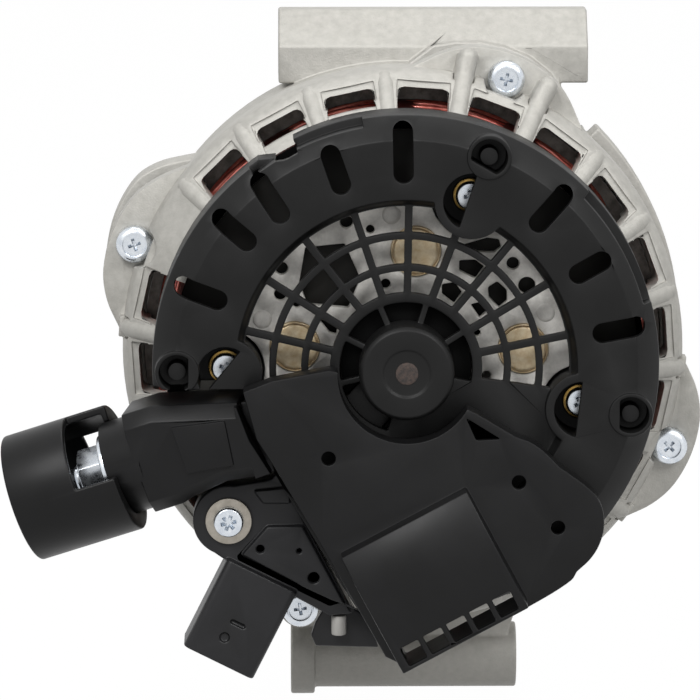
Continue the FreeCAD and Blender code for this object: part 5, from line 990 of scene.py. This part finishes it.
trimmed = {
    "front_bearing_outer_ring": ("housing", "bearing_steel", bearingSteel, 0.4),
    "front_bearing_inner_ring": ("rotor", "bearing_steel", bearingSteel, 0.4),
    "rear_bearing_outer_ring": ("housing", "bearing_steel", bearingSteel, 0.4),
    "rear_bearing_inner_ring": ("rotor", "bearing_steel", bearingSteel, 0.4),
    "rear_bearing_sleeve": ("housing", "sleeve_polymer", creamPolyamide, 0.2),
    "bearing_retainer": ("housing", "plain_steel", plainSteel, 0.25),
    "retainer_screws": ("housing", "zinc_steel", zincSteel, 0.3),
    "rotor_shaft": ("rotor", "plain_steel", plainSteel, 0.4),
    "shaft_collar": ("rotor", "plain_steel", plainSteel, 0.3),
    "pulley_spacer": ("rotor", "plain_steel", plainSteel, 0.3),
    "claw_pole_front": ("rotor", "rotor_iron", rotorIron, 0.7),
    "claw_pole_rear": ("rotor", "rotor_iron", rotorIron, 0.7),
    "coil_bobbin": ("rotor", "bobbin_polyamide", creamPolyamide, 0.25),
    "front_fan": ("rotor", "plain_steel", plainSteel, 0.2),
    "rear_fan": ("rotor", "plain_steel", plainSteel, 0.2),
    "drive_pulley": ("rotor", "pulley_steel", pulleySteel, 0.2),
    "pulley_nut": ("rotor", "zinc_steel", zincSteel, 0.5),
    "slip_ring_hub": ("rotor", "black_polyamide", blackPolyamide, 0.15),
    "slip_rings": ("rotor", "ring_copper", ringCopper, 0.3),
    "slip_ring_boot": ("housing", "black_polyamide", bootPolyamideAndShade, 0.3),
    "brush_holder": ("housing", "black_polyamide", blackPolyamide, 0.35),
    "brush_1": ("brush_1", "carbon", pressedCarbon, 0.2),
    "brush_2": ("brush_2", "carbon", pressedCarbon, 0.2),
    "negative_heat_sink": ("housing", "sheet_aluminium", sheetAluminium, 0.3),
    "positive_heat_sink": ("housing", "sheet_aluminium", sheetAluminium, 0.35),
    "diode_wiring_plate": ("housing", "wiring_resin", wiringResin, 0.2),
    "heat_sink_spacers": ("housing", "wiring_resin", wiringResin, 0.2),
    "cover_sleeves": ("housing", "rivet_brass", rivetBrass, 0.12),
    "battery_washer": ("housing", "zinc_steel", zincSteel, 0.25),
    "battery_busbar": ("housing", "tinned_copper", tinnedCopper, 0.3),
    "regulator_heat_sink": ("housing", "sheet_aluminium", sheetAluminium, 0.3),
    "regulator_washer": ("housing", "zinc_steel", greyPlating, 0.2),
    "regulator_dowel": ("housing", "sleeve_polymer", greyAcetal, 0.5),
    "connector_pins": ("housing", "tinned_copper", tinnedCopper, 0.12),
}

for node, (body, slotName, material, width) in trimmed.items():
    dressNode(camelName(node), node, body, material, width)
print("other pieces trimmed")


# Floor, light and camera

stage = {"width": 12.0, "drop": 0.6, "bounce": "#8c8c8c", "shadowShare": 0.06, "glow": 1.05, "sky": 0.22}
lamps = {
    "keyLamp": {"at": (-0.65, -1.2, 1.35), "size": 0.8, "power": 21.0},
    "fillLamp": {"at": (0.9, -1.1, 1.2), "size": 0.8, "power": 15.0},
    "topLamp": {"at": (0.1, 0.3, 1.4), "size": 0.8, "power": 4.0},
}
lookAt = Vector((0, -0.04, 0.0925))
cameraSpec = {
    "azimuth": -0.9, "elevation": 9.0, "distance": 1.5, "focalPixels": 5968.8,
    "hub": (0, -0.1, 0.0925), "hubPixel": (407.3, 375.5), "sensor": 36.0, "frame": 700,
}


def layFloor():
    low = cadBox[0][2] - stage["drop"] * mm
    deselectAll()
    bpy.ops.mesh.primitive_plane_add(size=stage["width"], location=(0, 0, low))
    floor = bpy.context.object
    floor.name = "floor"
    material, tree, shader, place = newMaterial("paleFloor")
    shader.inputs["Base Color"].default_value = linear(stage["bounce"])
    shader.inputs["Roughness"].default_value = 0.9
    rays = addNode(tree, "ShaderNodeLightPath")
    seen = addNode(tree, "ShaderNodeMath", {"operation": "MAXIMUM"}, {
        0: rays.outputs["Is Camera Ray"], 1: rays.outputs["Is Glossy Ray"]})
    seen = addNode(tree, "ShaderNodeMath", {"operation": "MAXIMUM"}, {
        0: seen.outputs[0], 1: rays.outputs["Is Transmission Ray"]})
    share = addNode(tree, "ShaderNodeMath", {"operation": "MULTIPLY"}, {
        0: seen.outputs[0], 1: 1 - stage["shadowShare"]})
    white = addNode(tree, "ShaderNodeEmission", {}, {"Color": (1, 1, 1, 1), "Strength": stage["glow"]})
    mixed = addNode(tree, "ShaderNodeMixShader", {}, {
        0: share.outputs[0], 1: shader.outputs[0], 2: white.outputs[0]})
    output = next(node for node in tree.nodes if node.bl_idname == "ShaderNodeOutputMaterial")
    tree.links.new(mixed.outputs[0], output.inputs["Surface"])
    floor.data.materials.append(material)


def hangLamps():
    for name, spec in lamps.items():
        lamp = bpy.data.lights.new(name, "AREA")
        lamp.size = spec["size"]
        lamp.energy = spec["power"]
        holder = bpy.data.objects.new(name, lamp)
        holder.location = spec["at"]
        holder.rotation_euler = (lookAt - holder.location).to_track_quat("-Z", "Y").to_euler()
        bpy.context.scene.collection.objects.link(holder)
    world = bpy.data.worlds.new("studio")
    bpy.context.scene.world = world
    world.use_nodes = True
    tree = world.node_tree
    tree.nodes.clear()
    rays = addNode(tree, "ShaderNodeLightPath")
    seen = addNode(tree, "ShaderNodeMath", {"operation": "MAXIMUM"}, {
        0: rays.outputs["Is Camera Ray"], 1: rays.outputs["Is Transmission Ray"]})
    seen = addNode(tree, "ShaderNodeMath", {"operation": "MAXIMUM"}, {
        0: seen.outputs[0], 1: rays.outputs["Is Glossy Ray"]})
    strength = addNode(tree, "ShaderNodeMapRange", {}, {
        "Value": seen.outputs[0], "To Min": stage["sky"], "To Max": 1.0})
    sky = addNode(tree, "ShaderNodeBackground", {}, {
        "Color": (1, 1, 1, 1), "Strength": strength.outputs["Result"]})
    addNode(tree, "ShaderNodeOutputWorld", {}, {"Surface": sky.outputs[0]})


def setCamera():
    turn, rise = math.radians(cameraSpec["azimuth"]), math.radians(cameraSpec["elevation"])
    back = Vector((math.sin(turn) * math.cos(rise), -math.cos(turn) * math.cos(rise), math.sin(rise)))
    right = Vector((math.cos(turn), math.sin(turn), 0))
    up = back.cross(right)
    middle, distance = cameraSpec["frame"] / 2, cameraSpec["distance"]
    across = (cameraSpec["hubPixel"][0] - middle) / cameraSpec["focalPixels"]
    down = (cameraSpec["hubPixel"][1] - middle) / cameraSpec["focalPixels"]
    spot = Vector(cameraSpec["hub"]) + distance * (back - right * across + up * down)
    lens = bpy.data.cameras.new("photoCamera")
    lens.sensor_width = cameraSpec["sensor"]
    lens.lens = cameraSpec["focalPixels"] / cameraSpec["frame"] * cameraSpec["sensor"]
    lens.clip_start, lens.clip_end = 0.05, 50.0
    camera = bpy.data.objects.new("photoCamera", lens)
    camera.matrix_world = Matrix((
        (right.x, up.x, back.x, spot.x), (right.y, up.y, back.y, spot.y),
        (right.z, up.z, back.z, spot.z), (0, 0, 0, 1),
    ))
    bpy.context.scene.collection.objects.link(camera)
    bpy.context.scene.camera = camera


layFloor()
hangLamps()
setCamera()
bpy.context.scene.view_settings.view_transform = "Standard"
print("floor, light and camera set")
